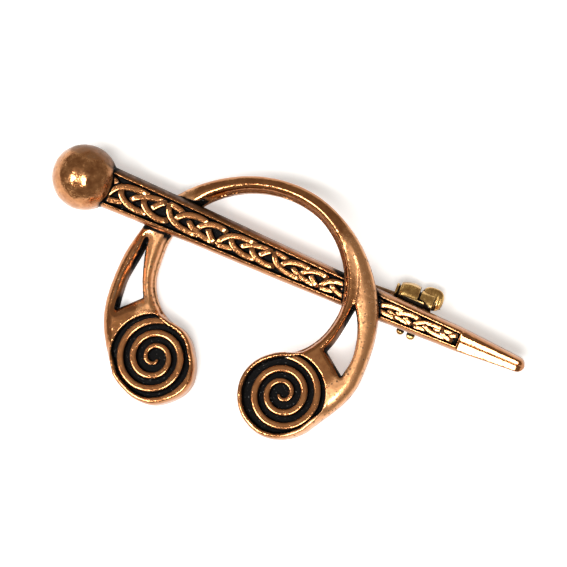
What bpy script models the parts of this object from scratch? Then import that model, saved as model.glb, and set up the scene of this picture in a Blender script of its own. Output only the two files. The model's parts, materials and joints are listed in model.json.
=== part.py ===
# Cast penannular brooch: a hoop with two spiral terminals, crossed by a ball-headed bar
# with interlace, and a hinged needle with a roll-over safety catch soldered on the back.
# Metres, +Z up. The brooch lies on its back, turned the way it comes to rest on a table.

import math

import bmesh
import bpy
import numpy as np
from mathutils import Matrix, Vector
from mathutils.bvhtree import BVHTree

# Bar, in its own frame: X from the ball's centre to the tip, Z = 0 on its flat back
BALL_RADIUS = 0.00495
BALL_LIFT = 0.0012
BAR_LENGTH = 0.07165
BAR_THICKNESS = 0.0028
BAR_EDGE_HEIGHT = 0.0010
BAR_HEAD_WIDTH = 0.00605
BAR_NECK_WIDTH = 0.00368
BAR_TIP_WIDTH = 0.00215
BAR_SIDE_SLOPE = 0.00050
TIP_ROUNDING = 0.0011
TIP_BLUNTNESS = 0.25
TIP_DROP = 0.00125
CROWN_SHARE = 0.45
BLADE_LENGTH = 0.0106

# Sunk channel along the bar and the knots in it
CHANNEL_START = 0.0040
CHANNEL_DEPTH = 0.0010
CHANNEL_RIM = 0.00040
CHANNEL_DRAFT = 0.00012
KNOT_COUNT = 7
KNOT_SHRINK = 0.952
BAND_WIDTH = 0.00082
BAND_CREST = 0.00040
BAND_TAPER = 0.80
BAND_LOW = 0.00060
BAND_STEP = 0.00011
BAND_ROOT = 0.00012
BAND_MARGIN = 0.0003

# Hoop, in its own frame: origin midway between the terminals, gap towards -Y, mid-plane Z = 0
HOOP_THICKNESS = 0.0030
HOOP_RADIUS = 0.02040
HOOP_CENTRE_X = 0.00065
HOOP_CENTRE_Y = 0.01040
OPENING_RADIUS = 0.01428
OPENING_CENTRE_Y = 0.01433
HOOP_ROUNDING = 0.00066
HOOP_FIRST_ROUNDING = 0.0002
HOOP_BACK_EDGE = 0.00015
TERMINAL_SPACING = 0.0204
TERMINAL_RADIUS = 0.0070
SHOULDER_START = 10.0
SHOULDER_END = 80.0
HIP_START = 5.0
HIP_END = -15.0
OUTER_ARM_LEFT = 0.00165
OUTER_ARM_RIGHT = 0.00215
INNER_ARM = 0.00175
WINDOW_TOP_LEFT = 0.0175
WINDOW_TOP_RIGHT = 0.0160
WINDOW_OUTER_FOOT = 0.0051
WINDOW_INNER_FOOT = 0.0079
WINDOW_SHARPNESS = 3
WINDOW_LEAST = 0.0009

# Spirals in the terminals
SPIRAL_RECESS_RADIUS = 0.0062
SPIRAL_RECESS_DEPTH = 0.0009
SPIRAL_PITCH = 0.0018
SPIRAL_START = 0.0011
SPIRAL_RIDGE = 0.00115
SPIRAL_CREST = 0.00070
SPIRAL_HEIGHT = 0.00082
SPIRAL_END_ANGLE = 58.0
SPIRAL_EYE_FOOT = 0.0006
SPIRAL_EYE_TOP = 0.00025
SPIRAL_EYE_HEIGHT = 0.00055

# How the hoop sits on the bar
HOOP_OFFSET_X = 0.0304
HOOP_OFFSET_Y = -0.0191
HOOP_TURN = 7.5
HOOP_DROOP = 8.0
CROSSING_LEFT = 0.0145
CROSSING_RIGHT = 0.0445
LEFT_BITE = 0.00080
RIGHT_BITE = 0.00060
SADDLE_LENGTH = 0.0030

# Hinge and needle, in a frame of their own on the bar's back, turned towards the catch
HINGE_X = 0.0220
HINGE_Y = 0.0002
PIN_SKEW = 4.0
SEAT_GAP = 0.0003
PLATE_THICKNESS = 0.0005
PLATE_LIP = 0.0002
BRACKET_LENGTH = 0.0046
EAR_THICKNESS = 0.0005
EAR_RADIUS = 0.00085
KNUCKLE_WIDTH = 0.0020
KNUCKLE_RADIUS = 0.00075
SIDE_CLEARANCE = 0.0002
RIVET_RADIUS = 0.00036
RIVET_HEAD_RADIUS = 0.00072
RIVET_HEAD_THICKNESS = 0.00035
RUNNING_CLEARANCE = 0.00008
NEEDLE_RADIUS = 0.00045
NEEDLE_PAST_CATCH = 0.0013
NEEDLE_POINT = 0.0075
NEEDLE_TIP_RADIUS = 0.00006

# Needle's point: distance from the tip and radius, as shares of the point's length and wire
NEEDLE_TAPER = ((1.0, 1.0), (0.4, 0.72), (0.1, 0.36))

# Catch: a housing soldered beside the bar's edge and the sleeve that turns in it
CATCH_X = 0.0298
HOUSING_RADIUS = 0.0024
HOUSING_WALL = 0.00070
HOUSING_LENGTH = 0.0030
HOUSING_BITE = 0.0003
PAD_LENGTH = 0.0033
PAD_SHIFT = 0.0010
PAD_OVERHANG = 0.0006
PAD_LIP = 0.0003
PAD_NOTCH = 0.0010
SLEEVE_CLEARANCE = 0.00015
END_CLEARANCE = 0.0002
SLEEVE_FLANGE_RADIUS = 0.0019
SLEEVE_HEAD_LENGTH = 0.0022
SLEEVE_STOP_LENGTH = 0.0005
SLOT_ROOM = 0.0002
LEVER_RADIUS = 0.0019
LEVER_REACH = 0.0029
LEVER_THICKNESS = 0.0014
LEVER_ROOT = 0.0006

# Facets
ROUND_SIDES = 24
BALL_SIDES = 28
BALL_RINGS = 14
HOOP_SIDES = 40
SPIRAL_SIDES = 18
BAND_STEPS = 7
SPAN_STEPS = 4
BLEND_STEPS = 9
TERMINAL_STEPS = 22
WINDOW_STEPS = 9
TUBE_SIDES = 32
SMALL_SIDES = 16
EYE_SIDES = 10
WELD = 0.000001
MITRE_LIMIT = 0.5
SETTLE_STEPS = 12
SETTLE_ANGLE = 0.0005

# One knot between its left corner (0, 1) and its right corner (1, 0), as shares of its
# length and of the channel's width; the second value of each band is its level
KNOT_BANDS = (
    (((0.02, 0.95), (0.07, 0.60), (0.17, 0.31), (0.32, 0.14), (0.52, 0.07), (0.67, 0.09)), 1),
    (((0.02, 0.94), (0.14, 0.93), (0.26, 0.85), (0.34, 0.72)), 0),
    (((0.22, 0.33), (0.26, 0.57), (0.37, 0.79), (0.53, 0.91), (0.68, 0.90), (0.77, 0.80)), 2),
    (((0.62, 0.36), (0.66, 0.58), (0.76, 0.79), (0.90, 0.91), (1.02, 0.90), (1.10, 0.80)), 2),
    (((0.42, 0.62), (0.50, 0.40), (0.63, 0.22), (0.80, 0.10), (0.97, 0.05)), 0),
    (((0.78, 0.62), (0.84, 0.40), (0.90, 0.22), (0.97, 0.06)), 1),
)


def clear_scene():
    for item in list(bpy.data.objects):
        bpy.data.objects.remove(item, do_unlink=True)


def make_collection(name):
    collection = bpy.data.collections.new(name)
    bpy.context.scene.collection.children.link(collection)
    return collection


def make_material(name, colour, roughness, metallic=1.0):
    material = bpy.data.materials.new(name)
    material.use_nodes = True
    shader = material.node_tree.nodes["Principled BSDF"]
    shader.inputs["Base Color"].default_value = (*colour, 1.0)
    shader.inputs["Roughness"].default_value = roughness
    shader.inputs["Metallic"].default_value = metallic
    return material


# Shared shape helpers

def add_object(name, mesh, collection, parent=None, material=None):
    item = bpy.data.objects.new(name, mesh)
    collection.objects.link(item)
    item.parent = parent
    if material is not None:
        mesh.materials.clear()
        mesh.materials.append(material)
    return item


def add_cutter(name, mesh, parent=None):
    item = add_object(name, mesh, CUTTERS, parent)
    item.hide_render = True
    item.display_type = "WIRE"
    return item


def mesh_from(name, build):
    """Run a bmesh builder and return its mesh with outward faces."""
    shape = bmesh.new()
    build(shape)
    bmesh.ops.remove_doubles(shape, verts=shape.verts, dist=WELD)
    bmesh.ops.recalc_face_normals(shape, faces=shape.faces)
    mesh = bpy.data.meshes.new(name)
    shape.to_mesh(mesh)
    shape.free()
    return mesh


def box_mesh(name, low, high):
    low, high = Vector(low), Vector(high)
    size = high - low
    place = Matrix.Translation((low + high) / 2) @ Matrix.Diagonal((*size, 1.0))
    return mesh_from(name, lambda shape: bmesh.ops.create_cube(shape, size=1.0, matrix=place))


def cylinder_mesh(name, radius, start, end, axis="Z", sides=ROUND_SIDES):
    """Cylinder about one axis through the origin, from start to end along it."""
    turn = {
        "X": Matrix.Rotation(math.pi / 2, 4, "Y"),
        "Y": Matrix.Rotation(-math.pi / 2, 4, "X"),
        "Z": Matrix.Identity(4),
    }[axis]
    place = turn @ Matrix.Translation((0, 0, (start + end) / 2))
    return mesh_from(name, lambda shape: bmesh.ops.create_cone(
        shape, cap_ends=True, segments=sides, radius1=radius, radius2=radius,
        depth=end - start, matrix=place))


def loft_mesh(name, rings):
    """Skin equal rings of points and close both ends."""
    def build(shape):
        rows = [[shape.verts.new(point) for point in ring] for ring in rings]
        for near, far in zip(rows, rows[1:]):
            count = len(near)
            for k in range(count):
                shape.faces.new((near[k], near[(k + 1) % count], far[(k + 1) % count], far[k]))
        shape.faces.new(rows[0][::-1])
        shape.faces.new(rows[-1])
    return mesh_from(name, build)


def offset_loop(loop, distance):
    """Closed outline moved towards its metal, with mitred corners, the sharpest cut short."""
    points = np.array(loop)
    ahead = np.roll(points, -1, axis=0) - points
    ahead /= np.linalg.norm(ahead, axis=1)[:, None]
    normal = np.stack([-ahead[:, 1], ahead[:, 0]], axis=1)
    before = np.roll(normal, 1, axis=0)
    spread = np.maximum(1 + (normal * before).sum(axis=1), MITRE_LIMIT)
    mitre = (normal + before) / spread[:, None]
    return points + mitre * distance


def plate_mesh(name, loops, levels):
    """Plate from one outline and its holes, skinned through levels of (inset, height).

    The outline runs anticlockwise and the holes clockwise, so an inset eats into the metal.
    """
    def build(shape):
        ends = []
        for number, loop in enumerate(loops):
            loop = np.array(loop)
            x, y = loop.T
            area = (x * np.roll(y, -1) - np.roll(x, -1) * y).sum()
            if (area > 0) != (number == 0):
                loop = loop[::-1]
            rows = [[shape.verts.new((*point, height)) for point in offset_loop(loop, inset)]
                    for inset, height in levels]
            for near, far in zip(rows, rows[1:]):
                for k in range(len(near)):
                    shape.faces.new((near[k - 1], near[k], far[k], far[k - 1]))
            ends.append((rows[0], rows[-1]))
        for place in (0, 1):
            rim = [shape.edges.get((pair[place][k - 1], pair[place][k]))
                   for pair in ends for k in range(len(pair[place]))]
            bmesh.ops.triangle_fill(shape, use_beauty=True, edges=rim)
    return mesh_from(name, build)


def boolean(target, tool, operation, solver="EXACT"):
    modifier = target.modifiers.new(tool.name, "BOOLEAN")
    modifier.object = tool
    modifier.operation = operation
    modifier.solver = solver


def arc_points(centre, radius, start, end, count):
    """Points on an arc, with angles in degrees."""
    angles = np.radians(np.linspace(start, end, count))
    return [(centre[0] + radius * math.cos(a), centre[1] + radius * math.sin(a)) for a in angles]


def smooth_points(points, per_span):
    """Catmull-Rom curve through a few chosen points."""
    knots = [np.array(point, float) for point in points]
    ends = [2 * knots[0] - knots[1], *knots, 2 * knots[-1] - knots[-2]]
    curve = []
    for a, b, c, d in zip(ends, ends[1:], ends[2:], ends[3:]):
        for t in np.linspace(0, 1, per_span, endpoint=False):
            curve.append(0.5 * (2 * b + (c - a) * t + (2 * a - 5 * b + 4 * c - d) * t ** 2
                                + (3 * b - 3 * c + d - a) * t ** 3))
    return curve + [knots[-1]]


def evenly(points, count):
    """The same path with points at equal distances."""
    path = np.array(points)
    reach = np.concatenate([[0], np.cumsum(np.linalg.norm(np.diff(path, axis=0), axis=1))])
    marks = np.linspace(0, reach[-1], count)
    return np.stack([np.interp(marks, reach, path[:, k]) for k in range(path.shape[1])], axis=1)


def ridge_mesh(name, path, base_width, crest_width, foot, crest):
    """Raised band of trapezoid section along a flat path."""
    path = np.array(path)
    along = np.gradient(path, axis=0)
    along /= np.linalg.norm(along, axis=1)[:, None]
    rings = []
    for (x, y), (dx, dy) in zip(path, along):
        section = ((-base_width / 2, foot), (base_width / 2, foot),
                   (crest_width / 2, crest), (-crest_width / 2, crest))
        rings.append([(x - dy * side, y + dx * side, height) for side, height in section])
    return loft_mesh(name, rings)


# Bar

def bar_width(x):
    """Full width of the bar's back at a place along it."""
    neck = BAR_LENGTH - BLADE_LENGTH
    body = np.interp(x, (CHANNEL_START, neck), (BAR_HEAD_WIDTH, BAR_NECK_WIDTH))
    blade = np.interp(x, (neck, BAR_LENGTH - TIP_ROUNDING), (BAR_NECK_WIDTH, BAR_TIP_WIDTH))
    width = float(body if x <= neck else blade)
    into_tip = (x - (BAR_LENGTH - TIP_ROUNDING)) / TIP_ROUNDING
    if into_tip > 0:
        width *= max(TIP_BLUNTNESS, math.sqrt(max(0.0, 1 - into_tip ** 2)))
    return width


def bar_ring(x):
    half = bar_width(x) / 2
    into_tip = max(0.0, (x - (BAR_LENGTH - 2 * TIP_ROUNDING)) / (2 * TIP_ROUNDING))
    top = BAR_THICKNESS - TIP_DROP * into_tip ** 2
    crown = max(half - BAR_SIDE_SLOPE, CROWN_SHARE * half)
    return [(x, -half, 0), (x, half, 0), (x, half, BAR_EDGE_HEIGHT),
            (x, crown, top), (x, -crown, top), (x, -half, BAR_EDGE_HEIGHT)]


def channel_half(x):
    return bar_width(x) / 2 - BAR_SIDE_SLOPE - CHANNEL_RIM


def make_bar():
    neck = BAR_LENGTH - BLADE_LENGTH
    tip = [BAR_LENGTH - TIP_ROUNDING * share for share in (2.0, 1.0, 0.5, 0.2, 0.0)]
    stations = [CHANNEL_START / 2, neck, *tip]
    bar = add_object("brooch_casting", loft_mesh("brooch_casting", [bar_ring(x) for x in stations]),
                     PARTS, BROOCH, COPPER)
    floor = BAR_THICKNESS - CHANNEL_DEPTH
    rings = []
    for x in (CHANNEL_START, neck):
        half = channel_half(x)
        above = half + CHANNEL_DRAFT * 2
        ceiling = floor + 2 * CHANNEL_DEPTH
        rings.append([(x, -half, floor), (x, half, floor),
                      (x, above, ceiling), (x, -above, ceiling)])
    channel = add_cutter("channel", loft_mesh("channel", rings), BROOCH)
    boolean(bar, channel, "DIFFERENCE")
    return bar


def make_ball():
    ball = add_cutter("ball", mesh_from("ball", lambda shape: bmesh.ops.create_uvsphere(
        shape, u_segments=BALL_SIDES, v_segments=BALL_RINGS, radius=BALL_RADIUS)), BROOCH)
    ball.location = (0, 0, BALL_LIFT)
    return ball


def knot_marks():
    """Corners between the knots, each knot shorter than the last by one ratio."""
    shares = np.array([KNOT_SHRINK ** k for k in range(KNOT_COUNT)])
    run = BAR_LENGTH - BLADE_LENGTH - CHANNEL_START
    return CHANNEL_START + run * np.concatenate([[0], np.cumsum(shares) / shares.sum()])


def knot_band(points, start, end, flipped):
    """Turn shares of a knot into places on the channel's floor."""
    path = []
    for along, across in smooth_points(points, SPAN_STEPS):
        x = start + along * (end - start)
        side = (across - 0.5) * (-1 if flipped else 1)
        room = channel_half(x) - BAND_MARGIN
        path.append((x, 2 * side * room))
    return evenly(path, BAND_STEPS)


def make_saddle(bar):
    """Metal that fills the channel under the hoop's right side."""
    floor = BAR_THICKNESS - CHANNEL_DEPTH
    rings = []
    for x in (CROSSING_RIGHT - SADDLE_LENGTH / 2, CROSSING_RIGHT + SADDLE_LENGTH / 2):
        half = channel_half(x) + CHANNEL_RIM / 2
        rings.append([(x, -half, floor - BAND_ROOT), (x, half, floor - BAND_ROOT),
                      (x, half, BAR_THICKNESS - BAND_ROOT), (x, -half, BAR_THICKNESS - BAND_ROOT)])
    saddle = add_cutter("saddle", loft_mesh("saddle", rings), BROOCH)
    boolean(bar, saddle, "UNION")


def carve_knots(casting):
    marks = knot_marks()
    floor = BAR_THICKNESS - CHANNEL_DEPTH
    last = BAR_LENGTH - BLADE_LENGTH
    for number, (start, end) in enumerate(zip(marks, marks[1:])):
        flipped = number % 2 == 0
        scale = 1 + (BAND_TAPER - 1) * number / (KNOT_COUNT - 1)
        for place, (points, level) in enumerate(KNOT_BANDS):
            inside = [point for point in points if start + point[0] * (end - start) < last]
            path = knot_band(inside, start, end, flipped)
            crest = floor + BAND_LOW + BAND_STEP * level
            name = f"band_{number}_{place}"
            band = add_cutter(name, ridge_mesh(name, path, BAND_WIDTH * scale, BAND_CREST * scale,
                                               floor - BAND_ROOT, crest), BROOCH)
            CUTTERS.objects.unlink(band)
            BANDS.objects.link(band)
    modifier = casting.modifiers.new("knots", "BOOLEAN")
    modifier.operand_type = "COLLECTION"
    modifier.collection = BANDS
    modifier.operation = "UNION"
    modifier.solver = "MANIFOLD"


# Hoop

def circle_point(centre, radius, angle, side):
    """Point and downward direction on a circle; angles rise from the outer side, in degrees."""
    a = math.radians(angle)
    point = np.array((centre[0] + side * radius * math.cos(a), centre[1] + radius * math.sin(a)))
    return point, np.array((side * math.sin(a), -math.cos(a)))


def blend_points(start, start_way, end, end_way):
    """Smooth curve between two points that leaves and arrives in the given directions."""
    reach = np.linalg.norm(end - start)
    points = []
    for t in np.linspace(0, 1, BLEND_STEPS)[1:-1]:
        arrive = 3 * t ** 2 - 2 * t ** 3
        leave_pull = (t ** 3 - 2 * t ** 2 + t) * reach
        arrive_pull = (t ** 3 - t ** 2) * reach
        points.append(start * (1 - arrive) + end * arrive
                      + start_way * leave_pull + end_way * arrive_pull)
    return points


def outer_side(side):
    """Outer edge of one half, from the top down to the terminal."""
    centre = (HOOP_CENTRE_X, HOOP_CENTRE_Y)
    terminal = (side * TERMINAL_SPACING / 2, 0.0)
    points = []
    for angle in np.linspace(90, -HIP_START, HOOP_SIDES // 2):
        points.append(circle_point(centre, HOOP_RADIUS, angle, side)[0])
    last, way = circle_point(centre, HOOP_RADIUS, -HIP_START, side)
    first, first_way = circle_point(terminal, TERMINAL_RADIUS, HIP_END, side)
    return points + blend_points(last, way, first, first_way)


def inner_side(side):
    """Edge of the opening on one half, from the top down to the terminal."""
    opening = (HOOP_CENTRE_X, OPENING_CENTRE_Y)
    terminal = (side * TERMINAL_SPACING / 2, 0.0)
    points = []
    for angle in np.linspace(90, -SHOULDER_START, HOOP_SIDES // 2 - 2):
        points.append(circle_point(opening, OPENING_RADIUS, angle, side)[0])
    last, way = circle_point(opening, OPENING_RADIUS, -SHOULDER_START, side)
    first, first_way = circle_point(terminal, TERMINAL_RADIUS, 180 - SHOULDER_END, side)
    return points + blend_points(last, way, first, -first_way)


def terminal_side(side):
    """Free edge of a terminal, from the hip round its foot to the shoulder."""
    terminal = (side * TERMINAL_SPACING / 2, 0.0)
    angles = np.linspace(HIP_END, -180 - SHOULDER_END, TERMINAL_STEPS)
    return [circle_point(terminal, TERMINAL_RADIUS, angle, side)[0] for angle in angles]


def hoop_outline():
    right = outer_side(1) + terminal_side(1) + inner_side(1)[::-1]
    left = outer_side(-1) + terminal_side(-1) + inner_side(-1)[::-1]
    return right + left[::-1][1:-1]


def inset_points(points, distance, side):
    """The same edge moved sideways by a distance, outwards when it is positive."""
    path = np.array(points)
    way = np.gradient(path, axis=0)
    way /= np.linalg.norm(way, axis=1)[:, None]
    normal = np.stack([-way[:, 1], way[:, 0]], axis=1) * side
    return path + normal * distance


def window_outline(side):
    """Tall three-cornered window between the outer and the inner arm of one half.

    It ends at its named top, or lower down where the arms come too close.
    """
    arm = OUTER_ARM_LEFT if side < 0 else OUTER_ARM_RIGHT
    top = WINDOW_TOP_LEFT if side < 0 else WINDOW_TOP_RIGHT
    outer = inset_points(outer_side(side), -arm, side)
    inner = inset_points(inner_side(side), INNER_ARM, side)

    def across(edge, height):
        order = np.argsort(edge[:, 1])
        return float(np.interp(height, edge[order, 1], edge[order, 0]))

    def room(height):
        return side * (across(outer, height) - across(inner, height))

    while room(top) < WINDOW_LEAST and top > WINDOW_INNER_FOOT + WINDOW_LEAST:
        top -= WINDOW_LEAST / 4
    apex = across(outer if side < 0 else inner, top)
    corners = []
    for edge, foot in ((outer, WINDOW_OUTER_FOOT), (inner, WINDOW_INNER_FOOT)):
        run = []
        for share in np.linspace(1, 0, WINDOW_STEPS)[1:]:
            height = foot + share * (top - foot)
            x = across(edge, height)
            run.append((x + (apex - x) * share ** WINDOW_SHARPNESS, height))
        corners.append(run)
    return [(apex, top), *corners[0], *corners[1][::-1]]


def spiral_path(side):
    """Ridge from the eye outwards; the left one runs clockwise seen from above."""
    turns = (SPIRAL_RECESS_RADIUS - SPIRAL_START) / SPIRAL_PITCH
    end = math.radians(SPIRAL_END_ANGLE)
    path = []
    for t in np.linspace(0, 1, int(turns * SPIRAL_SIDES) + 2):
        radius = SPIRAL_START + t * turns * SPIRAL_PITCH
        angle = end + (1 - t) * turns * 2 * math.pi
        x = -side * radius * math.cos(angle)
        path.append((side * TERMINAL_SPACING / 2 + x, radius * math.sin(angle)))
    return path


def make_hoop():
    top = HOOP_THICKNESS / 2
    levels = ((HOOP_BACK_EDGE, -top), (0, HOOP_BACK_EDGE - top), (0, top - HOOP_ROUNDING),
              (HOOP_FIRST_ROUNDING, top - HOOP_FIRST_ROUNDING), (HOOP_ROUNDING, top))
    loops = [hoop_outline(), window_outline(-1), window_outline(1)]
    hoop = add_cutter("hoop", plate_mesh("hoop", loops, levels), HOOP)
    floor = top - SPIRAL_RECESS_DEPTH
    for side in (-1, 1):
        name = "left" if side < 0 else "right"
        centre = (side * TERMINAL_SPACING / 2, 0, 0)
        recess = add_cutter(f"recess_{name}", cylinder_mesh(
            "recess", SPIRAL_RECESS_RADIUS, floor, top + SPIRAL_RECESS_DEPTH,
            sides=TUBE_SIDES), HOOP)
        recess.location = centre
        boolean(hoop, recess, "DIFFERENCE")
        ridge = add_cutter(f"spiral_{name}", ridge_mesh(
            "spiral", spiral_path(side), SPIRAL_RIDGE, SPIRAL_CREST,
            floor - BAND_ROOT, floor + SPIRAL_HEIGHT), HOOP)
        boolean(hoop, ridge, "UNION")
        eye = add_cutter(f"eye_{name}", mesh_from("eye", lambda shape: bmesh.ops.create_cone(
            shape, cap_ends=True, segments=EYE_SIDES, radius1=SPIRAL_EYE_FOOT,
            radius2=SPIRAL_EYE_TOP, depth=SPIRAL_EYE_HEIGHT + BAND_ROOT)), HOOP)
        eye.location = (centre[0], centre[1], floor + (SPIRAL_EYE_HEIGHT - BAND_ROOT) / 2)
        boolean(hoop, eye, "UNION")
    return hoop


def hoop_slope():
    """Rise to the right that takes the hoop from under the bar to over it."""
    rise = HOOP_THICKNESS + BAR_THICKNESS - LEFT_BITE - RIGHT_BITE
    return math.atan(rise / (CROSSING_RIGHT - CROSSING_LEFT))


def hoop_place():
    slope = hoop_slope()
    droop = math.radians(HOOP_DROOP)
    left_middle = LEFT_BITE - HOOP_THICKNESS / 2
    height = left_middle + (HOOP_OFFSET_X - CROSSING_LEFT) * math.tan(slope)
    height -= HOOP_OFFSET_Y * math.tan(droop)
    return (Matrix.Translation((HOOP_OFFSET_X, HOOP_OFFSET_Y, height))
            @ Matrix.Rotation(-slope, 4, "Y") @ Matrix.Rotation(-droop, 4, "X")
            @ Matrix.Rotation(math.radians(HOOP_TURN), 4, "Z"))


# Hinge and needle, with X along the needle and Z towards the bar's back

def seat_depth():
    return SEAT_GAP + PLATE_THICKNESS


def ear_width():
    """Space between the hinge's ears."""
    return KNUCKLE_WIDTH + 2 * SIDE_CLEARANCE


def make_bracket():
    half = ear_width() / 2 + EAR_THICKNESS
    foot = half + PLATE_LIP
    plate = box_mesh("hinge_bracket", (-BRACKET_LENGTH / 2, -foot, -seat_depth()),
                     (BRACKET_LENGTH / 2, foot, -SEAT_GAP))
    bracket = add_object("hinge_bracket", plate, PARTS, HINGE, BRASS)
    bore = RIVET_RADIUS + RUNNING_CLEARANCE
    depth = pin_depth()
    root = PLATE_THICKNESS / 2 - seat_depth()
    for side in (-1, 1):
        foot_arc = arc_points((0, -depth), EAR_RADIUS, -180, 0, ROUND_SIDES // 2 + 1)
        outline = [*foot_arc, (EAR_RADIUS, root), (-EAR_RADIUS, root)]
        levels = ((0, -EAR_THICKNESS / 2), (0, EAR_THICKNESS / 2))
        ear = add_cutter("ear", plate_mesh("ear", [outline], levels), HINGE)
        ear.rotation_euler = (math.pi / 2, 0, 0)
        ear.location = (0, side * (ear_width() + EAR_THICKNESS) / 2, 0)
        boolean(bracket, ear, "UNION")
    hole = add_cutter("rivet_hole", cylinder_mesh("rivet_hole", bore, -2 * half, 2 * half, "Y"),
                      HINGE)
    hole.location = (0, 0, -depth)
    boolean(bracket, hole, "DIFFERENCE")
    return bracket


def make_rivet():
    half = ear_width() / 2 + EAR_THICKNESS + RUNNING_CLEARANCE
    reach = half + RIVET_HEAD_THICKNESS
    shank = cylinder_mesh("hinge_rivet", RIVET_RADIUS, -reach, reach, "Y")
    rivet = add_object("hinge_rivet", shank, PARTS, HINGE, BRASS)
    rivet.location = (0, 0, -pin_depth())
    for side in (-1, 1):
        ends = sorted((side * half, side * (reach + RUNNING_CLEARANCE)))
        head = add_cutter("rivet_head", cylinder_mesh("rivet_head", RIVET_HEAD_RADIUS, *ends, "Y"),
                          HINGE)
        head.location = (0, 0, -pin_depth())
        boolean(rivet, head, "UNION")
    return rivet


def make_needle():
    """Wire with a round knuckle; its origin is on the rivet's axis."""
    knuckle = cylinder_mesh("needle", KNUCKLE_RADIUS, -KNUCKLE_WIDTH / 2, KNUCKLE_WIDTH / 2, "Y")
    needle = add_object("needle", knuckle, PARTS, HINGE, STEEL)
    needle.location = (0, 0, -pin_depth())
    tip = sleeve_end() + NEEDLE_PAST_CATCH
    stations = [(0.0, NEEDLE_RADIUS)]
    stations += [(tip - NEEDLE_POINT * share, NEEDLE_RADIUS * part) for share, part in NEEDLE_TAPER]
    stations.append((tip, NEEDLE_TIP_RADIUS))
    rings = []
    for x, radius in stations:
        ring = arc_points((0, 0), radius, 0, 360, SMALL_SIDES + 1)[:-1]
        rings.append([(x, y, z) for y, z in ring])
    wire = add_cutter("wire", loft_mesh("wire", rings), needle)
    boolean(needle, wire, "UNION")
    bore = RIVET_RADIUS + RUNNING_CLEARANCE
    eye = add_cutter("needle_eye", cylinder_mesh("needle_eye", bore, -KNUCKLE_WIDTH, KNUCKLE_WIDTH,
                                                 "Y"), needle)
    boolean(needle, eye, "DIFFERENCE")
    return needle


# Catch: a housing with its mouth away from the bar, and a slotted sleeve that turns in it

def pin_depth():
    """Depth of the needle's and the sleeve's axes below the bar's back."""
    return seat_depth() + HOUSING_RADIUS - HOUSING_BITE


def slot_half():
    return NEEDLE_RADIUS + SLOT_ROOM


def sleeve_end():
    """How far along the needle the sleeve's head reaches."""
    return CATCH_X + HOUSING_LENGTH / 2 + END_CLEARANCE + SLEEVE_HEAD_LENGTH


def pad_edge():
    """The far edge of the bar's back beside the catch, across the needle."""
    skew = math.radians(PIN_SKEW)
    edge = -bar_width(HINGE_X + CATCH_X) / 2 - HINGE_Y - CATCH_X * math.sin(skew)
    return edge / math.cos(skew)


def make_housing():
    depth = pin_depth()
    front = CATCH_X - HOUSING_LENGTH / 2
    back = CATCH_X + HOUSING_LENGTH / 2
    housing = add_object("catch_housing", cylinder_mesh(
        "catch_housing", HOUSING_RADIUS, front, back, "X", TUBE_SIDES), PARTS, HINGE, BRASS)
    housing.location = (0, 0, -depth)
    middle = CATCH_X + PAD_SHIFT
    low = pad_edge() - PAD_OVERHANG
    pad = add_cutter("pad", box_mesh("pad", (middle - PAD_LENGTH / 2, low, -seat_depth()),
                                     (middle + PAD_LENGTH / 2, PAD_LIP, -SEAT_GAP)), HINGE)
    notch = add_cutter("pad_notch", cylinder_mesh("pad_notch", PAD_NOTCH / 2, -2 * seat_depth(), 0,
                                                  sides=SMALL_SIDES), HINGE)
    notch.location = (middle, low, 0)
    boolean(housing, pad, "UNION")
    boolean(housing, notch, "DIFFERENCE")
    bore = add_cutter("housing_bore", cylinder_mesh(
        "housing_bore", HOUSING_RADIUS - HOUSING_WALL, front - HOUSING_LENGTH,
        back + HOUSING_LENGTH, "X", TUBE_SIDES), HINGE)
    bore.location = (0, 0, -depth)
    boolean(housing, bore, "DIFFERENCE")
    half = slot_half() + SLEEVE_CLEARANCE
    mouth = add_cutter("mouth", box_mesh("mouth", (front - HOUSING_LENGTH, -half, -2 * depth),
                                         (back + HOUSING_LENGTH, half, -depth)), HINGE)
    boolean(housing, mouth, "DIFFERENCE")
    return housing


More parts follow.
